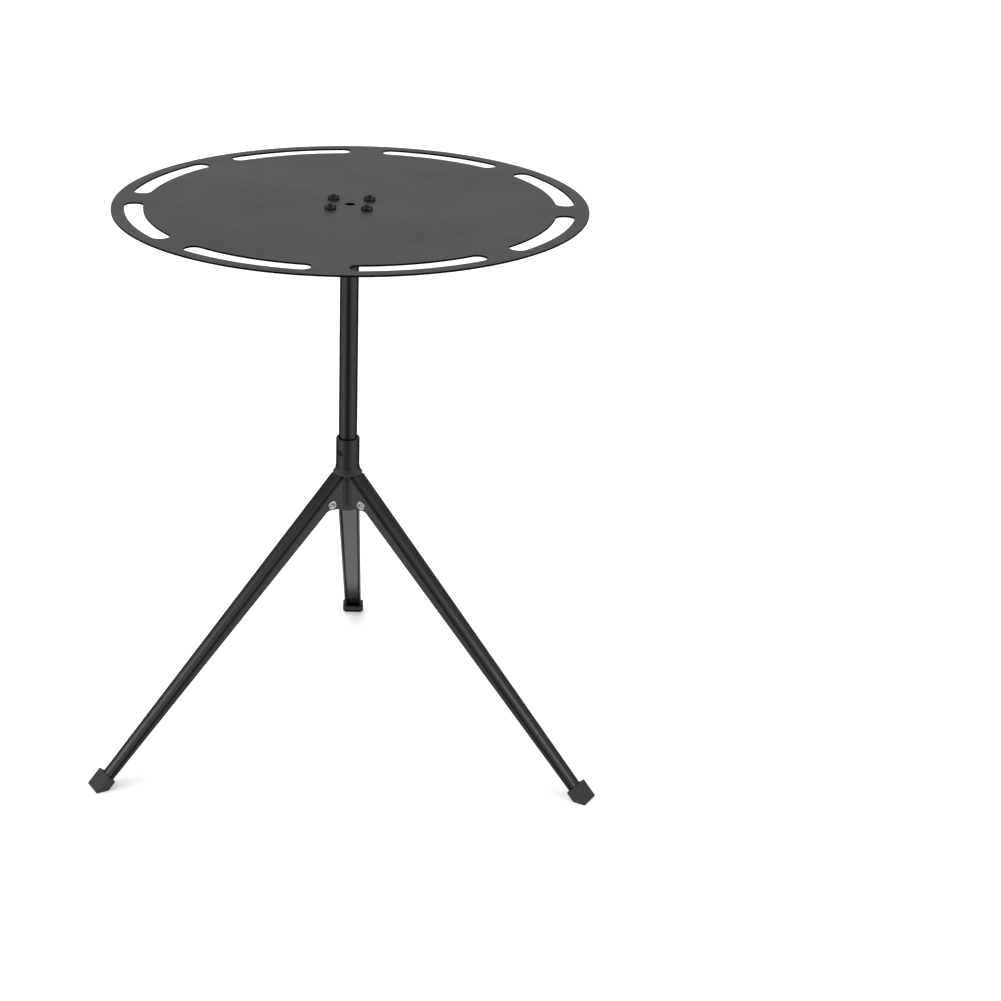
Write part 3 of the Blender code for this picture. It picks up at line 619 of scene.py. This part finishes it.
def moulded_rubber(name, dark, light, rough):
    """Matte moulded cap: fine spark-eroded grain and pits under soft clouds of tone."""
    g = Graph(name)
    clouds = g.noise(120.0, 5.0, 0.6)
    grain = g.noise(2400.0, 2.0, 0.6)
    tone = g.math("ADD", g.math("MULTIPLY", clouds, 0.6), g.math("MULTIPLY", grain, 0.4))
    g.link(g.tint(tone, dark, light), g.shader.inputs["Base Color"])
    g.link(g.spread(tone, rough[0], rough[1], 0.35, 0.65), g.shader.inputs["Roughness"])
    pits = g.cells(1900.0)
    g.bump([(clouds, 0.10, 0.10 * MM), (pits, 0.20, 0.03 * MM)])
    g.set("Specular IOR Level", 0.4)
    return g.material


# Pieces

def dress(name, mesh, mat, body, nodes, angle=30.0):
    """Links a piece that stands for CAD nodes and rides on their body."""
    mesh.materials.clear()
    mesh.materials.append(mat)
    mesh.shade_smooth()
    mesh.set_sharp_from_angle(angle=math.radians(angle))
    obj = bpy.data.objects.new(name, mesh)
    bpy.context.scene.collection.objects.link(obj)
    weights = obj.modifiers.new("normals", "WEIGHTED_NORMAL")
    weights.keep_sharp = True
    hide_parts(*nodes)
    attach(obj, body)
    return obj


def circle(centre, radius, count):
    points = []
    for i in range(count):
        angle = 2 * math.pi * i / count
        points.append((centre[0] + radius * math.cos(angle), centre[1] + radius * math.sin(angle)))
    return points


def slot_points(middle):
    """Arc slot with rounded corners, counter-clockwise."""
    points = []
    corners = (
        (SLOT_OUTER - SLOT_CORNER, 1.0, 0.0, 90.0),
        (SLOT_INNER + SLOT_CORNER, 1.0, 90.0, 180.0),
        (SLOT_INNER + SLOT_CORNER, -1.0, 180.0, 270.0),
        (SLOT_OUTER - SLOT_CORNER, -1.0, 270.0, 360.0),
    )
    corner_steps = 10
    arc_steps = 48
    for index, (radius, side, start, end) in enumerate(corners):
        turn = middle + side * (SLOT_SPAN / 2 - math.asin(SLOT_CORNER / radius))
        for k in range(corner_steps + 1):
            angle = turn + math.radians(start + (end - start) * k / corner_steps)
            x = radius * math.cos(turn) + SLOT_CORNER * math.cos(angle)
            y = radius * math.sin(turn) + SLOT_CORNER * math.sin(angle)
            points.append((x, y))
        if index in (1, 3):
            edge = SLOT_INNER if index == 1 else SLOT_OUTER
            other = middle - side * (SLOT_SPAN / 2 - math.asin(SLOT_CORNER / radius))
            for i in range(1, arc_steps):
                angle = turn + (other - turn) * i / arc_steps
                points.append((edge * math.cos(angle), edge * math.sin(angle)))
    return points


def screw_places():
    half = SCREW_SQUARE / 2
    return [(half, half), (-half, half), (-half, -half), (half, -half)]


def make_tabletop(mat):
    holes = [circle((0.0, 0.0), CENTRE_HOLE_RADIUS, 48)]
    holes += [circle(place, SHANK_HOLE, HOLE_STEPS) for place in screw_places()]
    holes += [slot_points(2 * math.pi * (i + 0.5) / SLOT_COUNT) for i in range(SLOT_COUNT)]
    outer = circle((0.0, 0.0), TOP_RADIUS, RIM_STEPS)
    mesh = sheet_mesh("tabletop", outer, holes, TOP_THICKNESS, TOP_EDGE)
    lift = Matrix.Translation((0.0, 0.0, TOP_HEIGHT - TOP_THICKNESS / 2))
    mesh.transform(lift @ Matrix.Rotation(TOP_YAW, 4, "Z"))
    dress("tabletop", mesh, mat, "top", ["tabletop_plate"])


def make_flange(mat):
    bore = STUD_RADIUS + GAP
    corners = [
        (FLANGE_RADIUS, FLANGE_TOP, 0.5 * MM),
        (FLANGE_RADIUS, FLANGE_BOTTOM, 0.9 * MM),
        (BOSS_RADIUS, FLANGE_BOTTOM, 2.0 * MM),
        (BOSS_RADIUS, BOSS_BOTTOM, 0.8 * MM),
        (bore + BOSS_CHAMFER, BOSS_BOTTOM, 0.2 * MM),
        (bore, BOSS_BOTTOM + BOSS_CHAMFER, 0.2 * MM),
        (bore, FLANGE_TOP, 0.0),
    ]
    mesh = lathe("flange", rounded(corners, 5), 120)
    holes = []
    for x, y in screw_places():
        hole = rod("hole", SHANK_HOLE, FLANGE_BOTTOM - 2 * CUT_PAST, FLANGE_TOP + 2 * CUT_PAST, HOLE_STEPS)
        holes.append(moved(hole, Matrix.Translation((x, y, 0.0))))
    mesh = cut_from(mesh, holes)
    mesh.transform(Matrix.Rotation(TOP_YAW, 4, "Z"))
    dress("flange", mesh, mat, "top", ["top_flange"])


def thread(name, radius, pitch, depth, low, high, segments=40):
    """Closed screw thread about Z between two heights, with its ends run out."""
    bm = bmesh.new()
    rows_per_turn = 8
    rows = int((high - low) / pitch * rows_per_turn)
    rings = []
    for j in range(rows + 1):
        height = low + (high - low) * j / rows
        ring = []
        fade = min(1.0, (height - low) / pitch, (high - height) / (0.5 * pitch))
        for i in range(segments):
            turn = i / segments
            phase = (height / pitch - turn) % 1.0
            ridge = 1.0 - abs(2.0 * phase - 1.0)
            r = radius - depth * (1.0 - ridge * max(0.0, fade))
            angle = 2 * math.pi * turn
            ring.append(bm.verts.new((r * math.cos(angle), r * math.sin(angle), height)))
        rings.append(ring)
    for ring, other in zip(rings, rings[1:]):
        for i in range(segments):
            m = (i + 1) % segments
            bm.faces.new((ring[i], ring[m], other[m], other[i]))
    bm.faces.new(rings[0])
    bm.faces.new(rings[-1])
    return finish_mesh(bm, name)


def make_screws(mat):
    seat = TOP_HEIGHT + GAP
    crown = seat + HEAD_HEIGHT
    underside = TOP_HEIGHT - TOP_THICKNESS
    corners = [(0.0, crown), (SOCKET_LIP, crown), (HEAD_FLAT, crown)]
    steps = 10
    for i in range(1, steps + 1):
        angle = math.pi / 2 * i / steps
        radius = DOME_START + (HEAD_RADIUS - DOME_START) * math.sin(angle)
        height = seat + HEAD_SIDE + (HEAD_HEIGHT - HEAD_SIDE) * math.cos(angle)
        corners.append((radius, height))
    corners += [
        (HEAD_RADIUS, seat + HEAD_CHAMFER),
        (HEAD_RADIUS - HEAD_CHAMFER, seat),
        (SHANK_RADIUS, seat),
        (SHANK_RADIUS, underside),
        (SHANK_RADIUS - SHANK_CHAMFER, underside - SHANK_CHAMFER),
        (0.0, underside - SHANK_CHAMFER),
    ]
    head = lathe("screw", corners, 64)
    socket = hexagon("socket", SOCKET_FLATS, crown - SOCKET_DEPTH, crown + CUT_PAST)
    mouth = SOCKET_FLATS / math.sqrt(3.0) + SOCKET_FLARE
    flare = lathe("flare", [
        (0.0, crown + FLARE_ABOVE),
        (mouth + FLARE_ABOVE, crown + FLARE_ABOVE),
        (mouth - FLARE_BELOW, crown - FLARE_BELOW),
        (0.0, crown - FLARE_BELOW),
    ], 48)
    head = cut_from(head, [socket, flare])
    tip = FLANGE_BOTTOM - SCREW_TIP
    shank = thread("thread", SHANK_RADIUS, SCREW_PITCH, SCREW_THREAD, tip, FLANGE_TOP)
    body = joined([head, shank], "screw")
    yaw = Matrix.Rotation(TOP_YAW, 4, "Z")
    for index, (x, y) in enumerate(screw_places(), start=1):
        spin = Matrix.Rotation(TOP_YAW + SCREW_TURN * index, 4, "Z")
        place = Matrix.Translation(yaw @ Vector((x, y, 0.0)))
        mesh = moved(body, place @ spin)
        dress(f"screw_{index}", mesh, mat, "top", [f"flange_screw_{index}"], 38.0)


def make_pole(mat):
    low = POLE_BOTTOM + COLLAR + GAP
    high = POLE_TOP - COLLAR - GAP
    inner = POLE_RADIUS - POLE_WALL
    corners = [
        (POLE_RADIUS, high, POLE_EDGE),
        (POLE_RADIUS, low, POLE_EDGE),
        (inner, low, 0.2 * MM),
        (inner, high, 0.2 * MM),
    ]
    tube = lathe("tube", rounded(corners, 4), TURNED_STEPS)
    dress("tube", tube, mat, "pole", ["pole_tube"])
    corners = [
        (0.0, COLLAR + SPIGOT, 0.0),
        (inner - GAP, COLLAR + SPIGOT, 0.7 * MM),
        (inner - GAP, COLLAR, 0.2 * MM),
        (POLE_RADIUS, COLLAR, POLE_EDGE),
        (POLE_RADIUS, 0.0, 0.8 * MM),
        (NECK_RADIUS, 0.0, 0.2 * MM),
        (NECK_RADIUS, -NECK_LENGTH, 0.0),
        (0.0, -NECK_LENGTH, 0.0),
    ]
    collar = lathe("plug", rounded(corners, 4), TURNED_STEPS)
    stud = thread("stud", STUD_RADIUS, STUD_PITCH, STUD_THREAD, -STUD_LENGTH, OVERLAP - NECK_LENGTH, 48)
    mesh = joined([collar, stud], "plug")
    lower = moved(mesh, Matrix.Translation((0.0, 0.0, POLE_BOTTOM)))
    dress("plug_lower", lower, mat, "pole", ["pole_lower_plug"], 38.0)
    turn = Matrix.Rotation(math.pi, 4, "X")
    upper = moved(mesh, Matrix.Translation((0.0, 0.0, POLE_TOP)) @ turn)
    dress("plug_upper", upper, mat, "pole", ["pole_upper_plug"], 38.0)


def along_leg():
    """Direction down the opened leg as (outwards, up)."""
    return (math.cos(SLOPE), -math.sin(SLOPE))


def off_web():
    """Direction out of the opened leg's web as (outwards, up)."""
    return (math.sin(SLOPE), math.cos(SLOPE))


def tongue_points(stop):
    """Side outline of a hub tongue as (outwards, up), rounded about the pivot at the stop's radius."""
    steps = 16
    along = along_leg()
    normal = off_web()
    foot = (PIVOT_RADIUS + stop * normal[0], PIVOT_HEIGHT + stop * normal[1])
    climb = (foot[0] - TONGUE_ROOT) / along[0]
    points = [(TONGUE_ROOT, foot[1] - along[1] * climb)]
    start = math.atan2(normal[1], normal[0])
    end = -math.asin(TONGUE_DROP / stop)
    for k in range(steps + 1):
        angle = start + (end - start) * k / steps
        points.append((PIVOT_RADIUS + stop * math.cos(angle), PIVOT_HEIGHT + stop * math.sin(angle)))
    points.append((TONGUE_ROOT, PIVOT_HEIGHT - TONGUE_DROP))
    return points


def set_screw_frame():
    """Frame whose Z points out of the sleeve along the set screw."""
    turn = Matrix.Rotation(SET_SCREW_AZIMUTH, 4, "Z") @ Matrix.Rotation(math.pi / 2, 4, "Y")
    return Matrix.Translation((0.0, 0.0, SET_SCREW_HEIGHT)) @ turn


def make_hub(mat):
    bore = POLE_RADIUS + GAP
    well = STUD_RADIUS + GAP
    well_floor = SLEEVE_FLOOR - WELL_DEPTH
    corners = [
        (bore + SLEEVE_BEVEL, SLEEVE_TOP, 0.25 * MM),
        (SLEEVE_RADIUS, SLEEVE_TOP, SLEEVE_EDGE),
        (SLEEVE_RADIUS, RING_TOP + RING_SLANT, 0.35 * MM),
        (RING_RADIUS, RING_TOP - RING_SLANT, 0.45 * MM),
        (RING_RADIUS, RING_BOTTOM, 0.8 * MM),
        (CONE_RADIUS, CONE_FOOT, 0.35 * MM),
        (CONE_RADIUS, CONE_UNDERSIDE, 0.3 * MM),
        (CORE_RADIUS, CONE_UNDERSIDE, 0.8 * MM),
        (CORE_RADIUS, CORE_BOTTOM, SLEEVE_EDGE),
        (0.0, CORE_BOTTOM, 0.0),
        (0.0, well_floor, 0.0),
        (well, well_floor, 0.0),
        (well, SLEEVE_FLOOR, 0.0),
        (bore, SLEEVE_FLOOR, 0.0),
        (bore, SLEEVE_TOP - SLEEVE_EDGE, 0.2 * MM),
    ]
    body = lathe("hub", rounded(corners, 5), TURNED_STEPS)
    hole = rod("hole", SET_SCREW_RADIUS + GAP, SLEEVE_RADIUS / 2, 2 * SLEEVE_RADIUS, HOLE_STEPS)
    hole.transform(set_screw_frame())
    body = cut_from(body, [hole])
    parts = [body]
    width = WIDTH_TOP - 2 * SHEET - 2 * GAP
    rib_width = WIDTH_TOP - 2 * BEND
    pivot_hole = rod("hole", PIVOT_HOLE, -width, width, HOLE_STEPS)
    pivot_hole.transform(Matrix.Translation((PIVOT_RADIUS, PIVOT_HEIGHT, 0.0)))
    clear = rod("bore", bore, SLEEVE_FLOOR, SLEEVE_TOP, 96)
    for azimuth in AZIMUTHS:
        for stop, across in ((WEB_TO_PIVOT - BEND, width), (WEB_TO_PIVOT - SHEET - GAP, rib_width)):
            outline = counter_clockwise(tongue_points(stop))
            slab = cut_from(prism("tongue", outline, across, TONGUE_EDGE), [pivot_hole])
            slab.transform(upright(azimuth))
            parts.append(cut_from(slab, [clear]))
    dress("hub_body", joined(parts, "hub_body"), mat, "stand", ["hub"])


def make_set_screw(mat):
    inner = POLE_RADIUS + GAP
    outer = SLEEVE_RADIUS - SET_SCREW_RECESS
    corners = [
        (0.0, outer, 0.0),
        (SET_SCREW_RADIUS - SET_SCREW_CHAMFER, outer, 0.1 * MM),
        (SET_SCREW_RADIUS, outer - SET_SCREW_CHAMFER, 0.1 * MM),
        (SET_SCREW_RADIUS, inner, 0.0),
        (0.0, inner, 0.0),
    ]
    mesh = lathe("set_screw", rounded(corners, 3), 48)
    socket = hexagon("socket", SET_SCREW_FLATS, outer - SET_SCREW_SOCKET, outer + CUT_PAST)
    mesh = cut_from(mesh, [socket])
    mesh.transform(set_screw_frame())
    dress("set_screw", mesh, mat, "stand", ["hub_set_screw"])


def leg_place(x, depth):
    """Point of the opened leg as (outwards, up): x down the leg from its pivot, depth in from its web."""
    along = along_leg()
    normal = off_web()
    lift = WEB_TO_PIVOT - depth
    return (PIVOT_RADIUS + along[0] * x + normal[0] * lift, PIVOT_HEIGHT + along[1] * x + normal[1] * lift)


def leg_local(outwards, up):
    """The reverse of leg_place: (x, depth) of a point."""
    along = along_leg()
    normal = off_web()
    dr = outwards - PIVOT_RADIUS
    dz = up - PIVOT_HEIGHT
    return (dr * along[0] + dz * along[1], WEB_TO_PIVOT - dr * normal[0] - dz * normal[1])


def floor_reach(depth):
    """The x at which a line of the leg at this depth meets the floor."""
    return (PIVOT_HEIGHT + math.cos(SLOPE) * (WEB_TO_PIVOT - depth)) / math.sin(SLOPE)


FOOT_MOUTH_X = floor_reach(-FOOT_OUTER_WALL - GAP) - FOOT_LENGTH
LEG_END_X = FOOT_MOUTH_X + FOOT_GRIP
LEG_TOP_X = floor_reach(0.0) - (CONE_UNDERSIDE - GAP) / math.sin(SLOPE)


def leg_edge():
    """Free edge of the leg's side flange as (x, depth) points, from the top end to the foot."""
    peak_x, peak_depth = leg_local(LUG_END_RADIUS, PIVOT_HEIGHT - LUG_DROP)
    slant = math.cos(SLOPE) / math.sin(SLOPE)
    fall = math.sin(SLOPE) / math.cos(SLOPE)
    end_depth = peak_depth - (peak_x - LEG_TOP_X) * slant
    tail_x = peak_x + (peak_depth - DEPTH_LUG_END) / fall
    straight = STRAIGHT_BELOW_PIVOT
    share = (straight - tail_x) / (LEG_END_X - tail_x)
    corners = [
        (LEG_TOP_X, end_depth, 0.0),
        (peak_x, peak_depth, LUG_PEAK_BEND),
        (tail_x, DEPTH_LUG_END, LUG_TAIL_BEND),
        (straight, DEPTH_LUG_END + (DEPTH_FOOT - DEPTH_LUG_END) * share, 0.0),
        (LEG_END_X, DEPTH_FOOT, 0.0),
    ]
    return rounded(corners, 8, closed=False)


def leg_stations():
    """(x, flange depth, width) along the leg, with extra ones so that the taper shades evenly."""
    edge = leg_edge()
    fine = [edge[0]]
    for (ax, ad), (bx, bd) in zip(edge, edge[1:]):
        parts = max(1, int((bx - ax) / STATION_SPACING))
        for k in range(1, parts + 1):
            fine.append((ax + (bx - ax) * k / parts, ad + (bd - ad) * k / parts))
    stations = []
    for x, depth in fine:
        taper = max(0.0, (x - STRAIGHT_BELOW_PIVOT) / (LEG_END_X - STRAIGHT_BELOW_PIVOT))
        stations.append((x, depth, WIDTH_TOP + (WIDTH_FOOT - WIDTH_TOP) * taper))
    return stations


def section(depth, width):
    """Closed outline of the channel as (depth, across): outer faces, free edges, then inner faces."""
    half = width / 2
    edge_steps = 3
    edge = SHEET_EDGE
    start = half - BEND + BEND * math.sin(CROWN)
    crown_radius = start / math.sin(CROWN)
    bend_depth = crown_radius * (1.0 - math.cos(CROWN)) + BEND * math.cos(CROWN)

    def faces(inset):
        points = []
        for k in range(CROWN_STEPS + 1):
            angle = CROWN * k / CROWN_STEPS
            reach = crown_radius - inset
            points.append((crown_radius - reach * math.cos(angle), reach * math.sin(angle)))
        for k in range(1, BEND_STEPS + 1):
            angle = CROWN + (math.pi / 2 - CROWN) * k / BEND_STEPS
            reach = BEND - inset
            points.append((bend_depth - reach * math.cos(angle), half - BEND + reach * math.sin(angle)))
        return points

    tip = []
    for k in range(edge_steps + 1):
        angle = math.pi / 2 * k / edge_steps
        tip.append((depth - edge + edge * math.sin(angle), half - edge + edge * math.cos(angle)))
    for k in range(edge_steps + 1):
        angle = math.pi / 2 * k / edge_steps
        tip.append((depth - edge + edge * math.cos(angle), half - SHEET + edge - edge * math.sin(angle)))
    outer = faces(0.0)
    inner = faces(SHEET)
    near = outer + tip + list(reversed(inner))
    far = [(d, -a) for d, a in reversed(near)]
    return near[:-1] + far[:-1]


def leg_mesh():
    stations = leg_stations()
    first, last = stations[0], stations[-1]
    bm = bmesh.new()
    rings = []
    for x, depth, width in stations:
        ring = []
        for d, across in section(depth, width):
            outwards, up = leg_place(x, d)
            ring.append(bm.verts.new((outwards, up, across)))
        rings.append(ring)
    for ring, other in zip(rings, rings[1:]):
        for i in range(len(ring)):
            m = (i + 1) % len(ring)
            bm.faces.new((ring[i], ring[m], other[m], other[i]))
    caps = [bm.faces.new(rings[0]), bm.faces.new(rings[-1])]
    edges = [edge for cap in caps for edge in cap.edges]
    bmesh.ops.recalc_face_normals(bm, faces=bm.faces)
    bmesh.ops.bevel(bm, geom=edges, offset=END_BEVEL, segments=2, profile=0.5, affect="EDGES")
    return finish_mesh(bm, "leg")


def make_legs(mat):
    hole = rod("hole", PIVOT_HOLE, -WIDTH_TOP, WIDTH_TOP, 48)
    hole.transform(Matrix.Translation((PIVOT_RADIUS, PIVOT_HEIGHT, 0.0)))
    mesh = cut_from(leg_mesh(), [hole])
    for index, azimuth in enumerate(AZIMUTHS, start=1):
        piece = moved(mesh, upright(azimuth))
        dress(f"channel_{index}", piece, mat, f"leg_{index}_body", [f"leg_{index}"])


def make_rivets(mat):
    """Rivets through the lugs, each head a round lip about a dimple."""
    face = WIDTH_TOP / 2 + GAP
    outer = face + RIVET_HEAD_HEIGHT
    floor = outer - DIMPLE_DEPTH
    lip = (RIVET_HEAD + RIVET_DIMPLE) / 2
    reach = (RIVET_HEAD - RIVET_DIMPLE) / 2
    half = [
        (0.0, floor - 0.25 * MM),
        (0.5 * MM, floor - 0.2 * MM),
        (1.1 * MM, floor),
        (RIVET_DIMPLE, floor + 0.35 * MM),
    ]
    steps = 14
    for i in range(steps + 1):
        angle = math.pi * i / steps
        radius = lip - reach * math.cos(angle)
        half.append((radius, face + (outer - face) * math.sin(angle) ** LIP_POWER))
    half.append((RIVET_SHANK, face))
    profile = half + [(radius, -height) for radius, height in reversed(half)]
    mesh = lathe("rivet", profile, 72)
    for index, azimuth in enumerate(AZIMUTHS, start=1):
        piece = moved(mesh, upright(azimuth, PIVOT_RADIUS, PIVOT_HEIGHT))
        dress(f"rivet_{index}", piece, mat, "stand", [f"leg_rivet_{index}"], 50.0)


def make_feet(mat):
    outer_depth = -FOOT_OUTER_WALL - GAP
    inner_depth = DEPTH_FOOT + GAP + FOOT_OUTER_WALL
    width = WIDTH_FOOT + 2 * GAP + 2 * FOOT_SIDE_WALL
    corners = [
        (*leg_place(FOOT_MOUTH_X, outer_depth), FOOT_EDGE),
        (*leg_place(floor_reach(outer_depth), outer_depth), FOOT_EDGE),
        (*leg_place(floor_reach(inner_depth), inner_depth), SOLE_EDGE),
        (*leg_place(FOOT_MOUTH_X, inner_depth), FOOT_EDGE),
    ]
    block = prism("foot", counter_clockwise(rounded(corners, 6)), width, FOOT_EDGE, 5)
    outline = [
        leg_place(FOOT_MOUTH_X - POCKET_PAST, -GAP),
        leg_place(FOOT_MOUTH_X - POCKET_PAST, DEPTH_FOOT + GAP),
        leg_place(LEG_END_X + GAP, DEPTH_FOOT + GAP),
        leg_place(LEG_END_X + GAP, -GAP),
    ]
    pocket = prism("pocket", counter_clockwise(outline), WIDTH_FOOT + 2 * GAP, POCKET_EDGE, 1)
    mesh = cut_from(block, [pocket])
    for index, azimuth in enumerate(AZIMUTHS, start=1):
        piece = moved(mesh, upright(azimuth))
        dress(f"cap_{index}", piece, mat, f"leg_{index}_body", [f"foot_{index}"])


# Surroundings

def make_floor():
    bm = bmesh.new()
    bmesh.ops.create_grid(bm, x_segments=2, y_segments=2, size=FLOOR_HALF)
    mesh = bpy.data.meshes.new("floor")
    bm.to_mesh(mesh)
    bm.free()
    floor = bpy.data.objects.new("floor", mesh)
    bpy.context.scene.collection.objects.link(floor)
    mat = bpy.data.materials.new("floor_white")
    mat.use_nodes = True
    shader = mat.node_tree.nodes["Principled BSDF"]
    shader.inputs["Base Color"].default_value = FLOOR_TONE
    shader.inputs["Roughness"].default_value = 0.9
    shader.inputs["Specular IOR Level"].default_value = 0.0
    shader.inputs["Emission Color"].default_value = WHITE
    shader.inputs["Emission Strength"].default_value = FLOOR_GLOW
    mesh.materials.append(mat)
    floor.visible_glossy = False


def make_world():
    """Studio that light and reflections see; the camera sees plain white.

    It is dark in front, with soft boxes at the sides, a strip behind, white below and a few small lamps.
    """
    world = bpy.data.worlds.new("studio")
    bpy.context.scene.world = world
    world.use_nodes = True
    tree = world.node_tree
    tree.nodes.clear()

    def add(kind, **values):
        node = tree.nodes.new(kind)
        for key, value in values.items():
            setattr(node, key, value)
        return node

    def calc(operation, a, b=0.0):
        node = add("ShaderNodeMath", operation=operation)
        for socket, value in zip(node.inputs, (a, b)):
            if isinstance(value, (int, float)):
                socket.default_value = value
            else:
                tree.links.new(value, socket)
        return node.outputs[0]

    def ease(value, low, high, start=0.0, end=1.0):
        node = add("ShaderNodeMapRange", interpolation_type="SMOOTHSTEP")
        node.inputs["From Min"].default_value = low
        node.inputs["From Max"].default_value = high
        node.inputs["To Min"].default_value = start
        node.inputs["To Max"].default_value = end
        tree.links.new(value, node.inputs["Value"])
        return node.outputs["Result"]

    def product(*factors):
        result = factors[0]
        for factor in factors[1:]:
            result = calc("MULTIPLY", result, factor)
        return result

    def total(*terms):
        result = terms[0]
        for term in terms[1:]:
            result = calc("ADD", result, term)
        return result

    place = add("ShaderNodeTexCoord").outputs["Generated"]

    def lobe(direction, wide, narrow, strength):
        node = add("ShaderNodeVectorMath", operation="DOT_PRODUCT")
        tree.links.new(place, node.inputs[0])
        node.inputs[1].default_value = Vector(direction).normalized()
        rim, middle = math.cos(math.radians(wide)), math.cos(math.radians(narrow))
        return ease(node.outputs["Value"], rim, middle, 0.0, strength)

    split = add("ShaderNodeSeparateXYZ")
    tree.links.new(place, split.inputs[0])
    x, y, z = split.outputs
    across = calc("ABSOLUTE", calc("ADD", x, SIDE_OFFSET))
    boxes = product(
        ease(across, *SIDE_SPREAD, 0.0, SIDE_LIGHT),
        ease(y, *SIDE_BACK, 1.0, 0.0),
        ease(z, *SIDE_BOTTOM),
        ease(z, *SIDE_TOP, 1.0, 0.0),
    )
    strip = product(
        ease(y, *BEHIND_FRONT, 0.0, BEHIND_LIGHT),
        ease(across, *BEHIND_SPREAD, 1.0, 0.0),
        ease(z, *BEHIND_BOTTOM),
        ease(z, *BEHIND_TOP, 1.0, 0.0),
    )
    below = ease(calc("MULTIPLY", z, -1.0), *BELOW_DEPTH, 0.0, BELOW_LIGHT)
    lamps = total(*(lobe(*lamp) for lamp in LAMPS))
    level = total(boxes, strip, below, lamps, BASE_LIGHT)
    path = add("ShaderNodeLightPath")
    share = ease(path.outputs["Is Diffuse Ray"], 0.0, 1.0, 1.0, SCATTERED_SHARE)
    studio = add("ShaderNodeBackground")
    tree.links.new(calc("MULTIPLY", level, share), studio.inputs["Strength"])
    white = add("ShaderNodeBackground")
    white.inputs["Strength"].default_value = 1.0
    white.inputs["Color"].default_value = WHITE
    mix = add("ShaderNodeMixShader")
    tree.links.new(path.outputs["Is Camera Ray"], mix.inputs["Fac"])
    tree.links.new(studio.outputs[0], mix.inputs[1])
    tree.links.new(white.outputs[0], mix.inputs[2])
    out = add("ShaderNodeOutputWorld")
    tree.links.new(mix.outputs[0], out.inputs["Surface"])


def make_sun():
    lamp = bpy.data.lights.new("overhead", "SUN")
    lamp.energy = SUN_ENERGY
    lamp.angle = SUN_ANGLE
    sun = bpy.data.objects.new("overhead", lamp)
    sun.rotation_euler = SUN_TURN
    sun.visible_glossy = False
    bpy.context.scene.collection.objects.link(sun)


def make_card():
    """Dark card that only reflections see: the shade under the rear foot in that leg's bright inside."""
    bm = bmesh.new()
    corners = [(-1, CARD_NEAR), (1, CARD_NEAR), (1, CARD_FAR), (-1, CARD_FAR)]
    bm.faces.new([bm.verts.new((side * CARD_HALF, y, -CARD_SUNK)) for side, y in corners])
    mesh = bpy.data.meshes.new("card")
    bm.to_mesh(mesh)
    bm.free()
    card = bpy.data.objects.new("card", mesh)
    bpy.context.scene.collection.objects.link(card)
    mat = bpy.data.materials.new("card_black")
    mat.use_nodes = True
    shader = mat.node_tree.nodes["Principled BSDF"]
    shader.inputs["Base Color"].default_value = CARD_TONE
    shader.inputs["Specular IOR Level"].default_value = 0.0
    mesh.materials.append(mat)
    card.visible_camera = False
    card.visible_diffuse = False
    card.visible_shadow = False


def make_camera():
    data = bpy.data.cameras.new("camera")
    data.sensor_fit = "HORIZONTAL"
    data.sensor_width = 36.0
    data.lens = LENS
    data.shift_x, data.shift_y = SHIFT
    data.clip_start = 0.05
    data.clip_end = 60.0
    camera = bpy.data.objects.new("camera", data)
    camera.location = CAMERA_PLACE
    camera.rotation_euler = tuple(math.radians(a) for a in CAMERA_TURN)
    bpy.context.scene.collection.objects.link(camera)
    bpy.context.scene.camera = camera


def main():
    view = bpy.context.scene.view_settings
    view.view_transform = "Standard"
    view.look = "None"
    view.exposure = 0.0
    view.gamma = 1.0
    make_camera()
    make_floor()
    make_world()
    make_sun()
    make_card()
    oxide = black_oxide("screw_black", *OXIDE_TONES)
    make_tabletop(powder_coat("top_coat", *TOP_TONES, TOP_GRAIN, painted_edge_shade=True))
    make_flange(powder_coat("flange_coat", *FLANGE_TONES, COAT_GRAIN))
    make_screws(oxide)
    make_pole(drawn_tube_coat("tube_coat", *TUBE_TONES))
    make_hub(cast_coat_with_painted_light("hub_coat", *HUB_TONES))
    make_set_screw(oxide)
    make_legs(powder_coat("leg_coat", *LEG_TONES, COAT_GRAIN))
    make_rivets(bright_steel("rivet_steel", *STEEL_TONES))
    make_feet(moulded_rubber("foot_rubber", *RUBBER_TONES))


main()
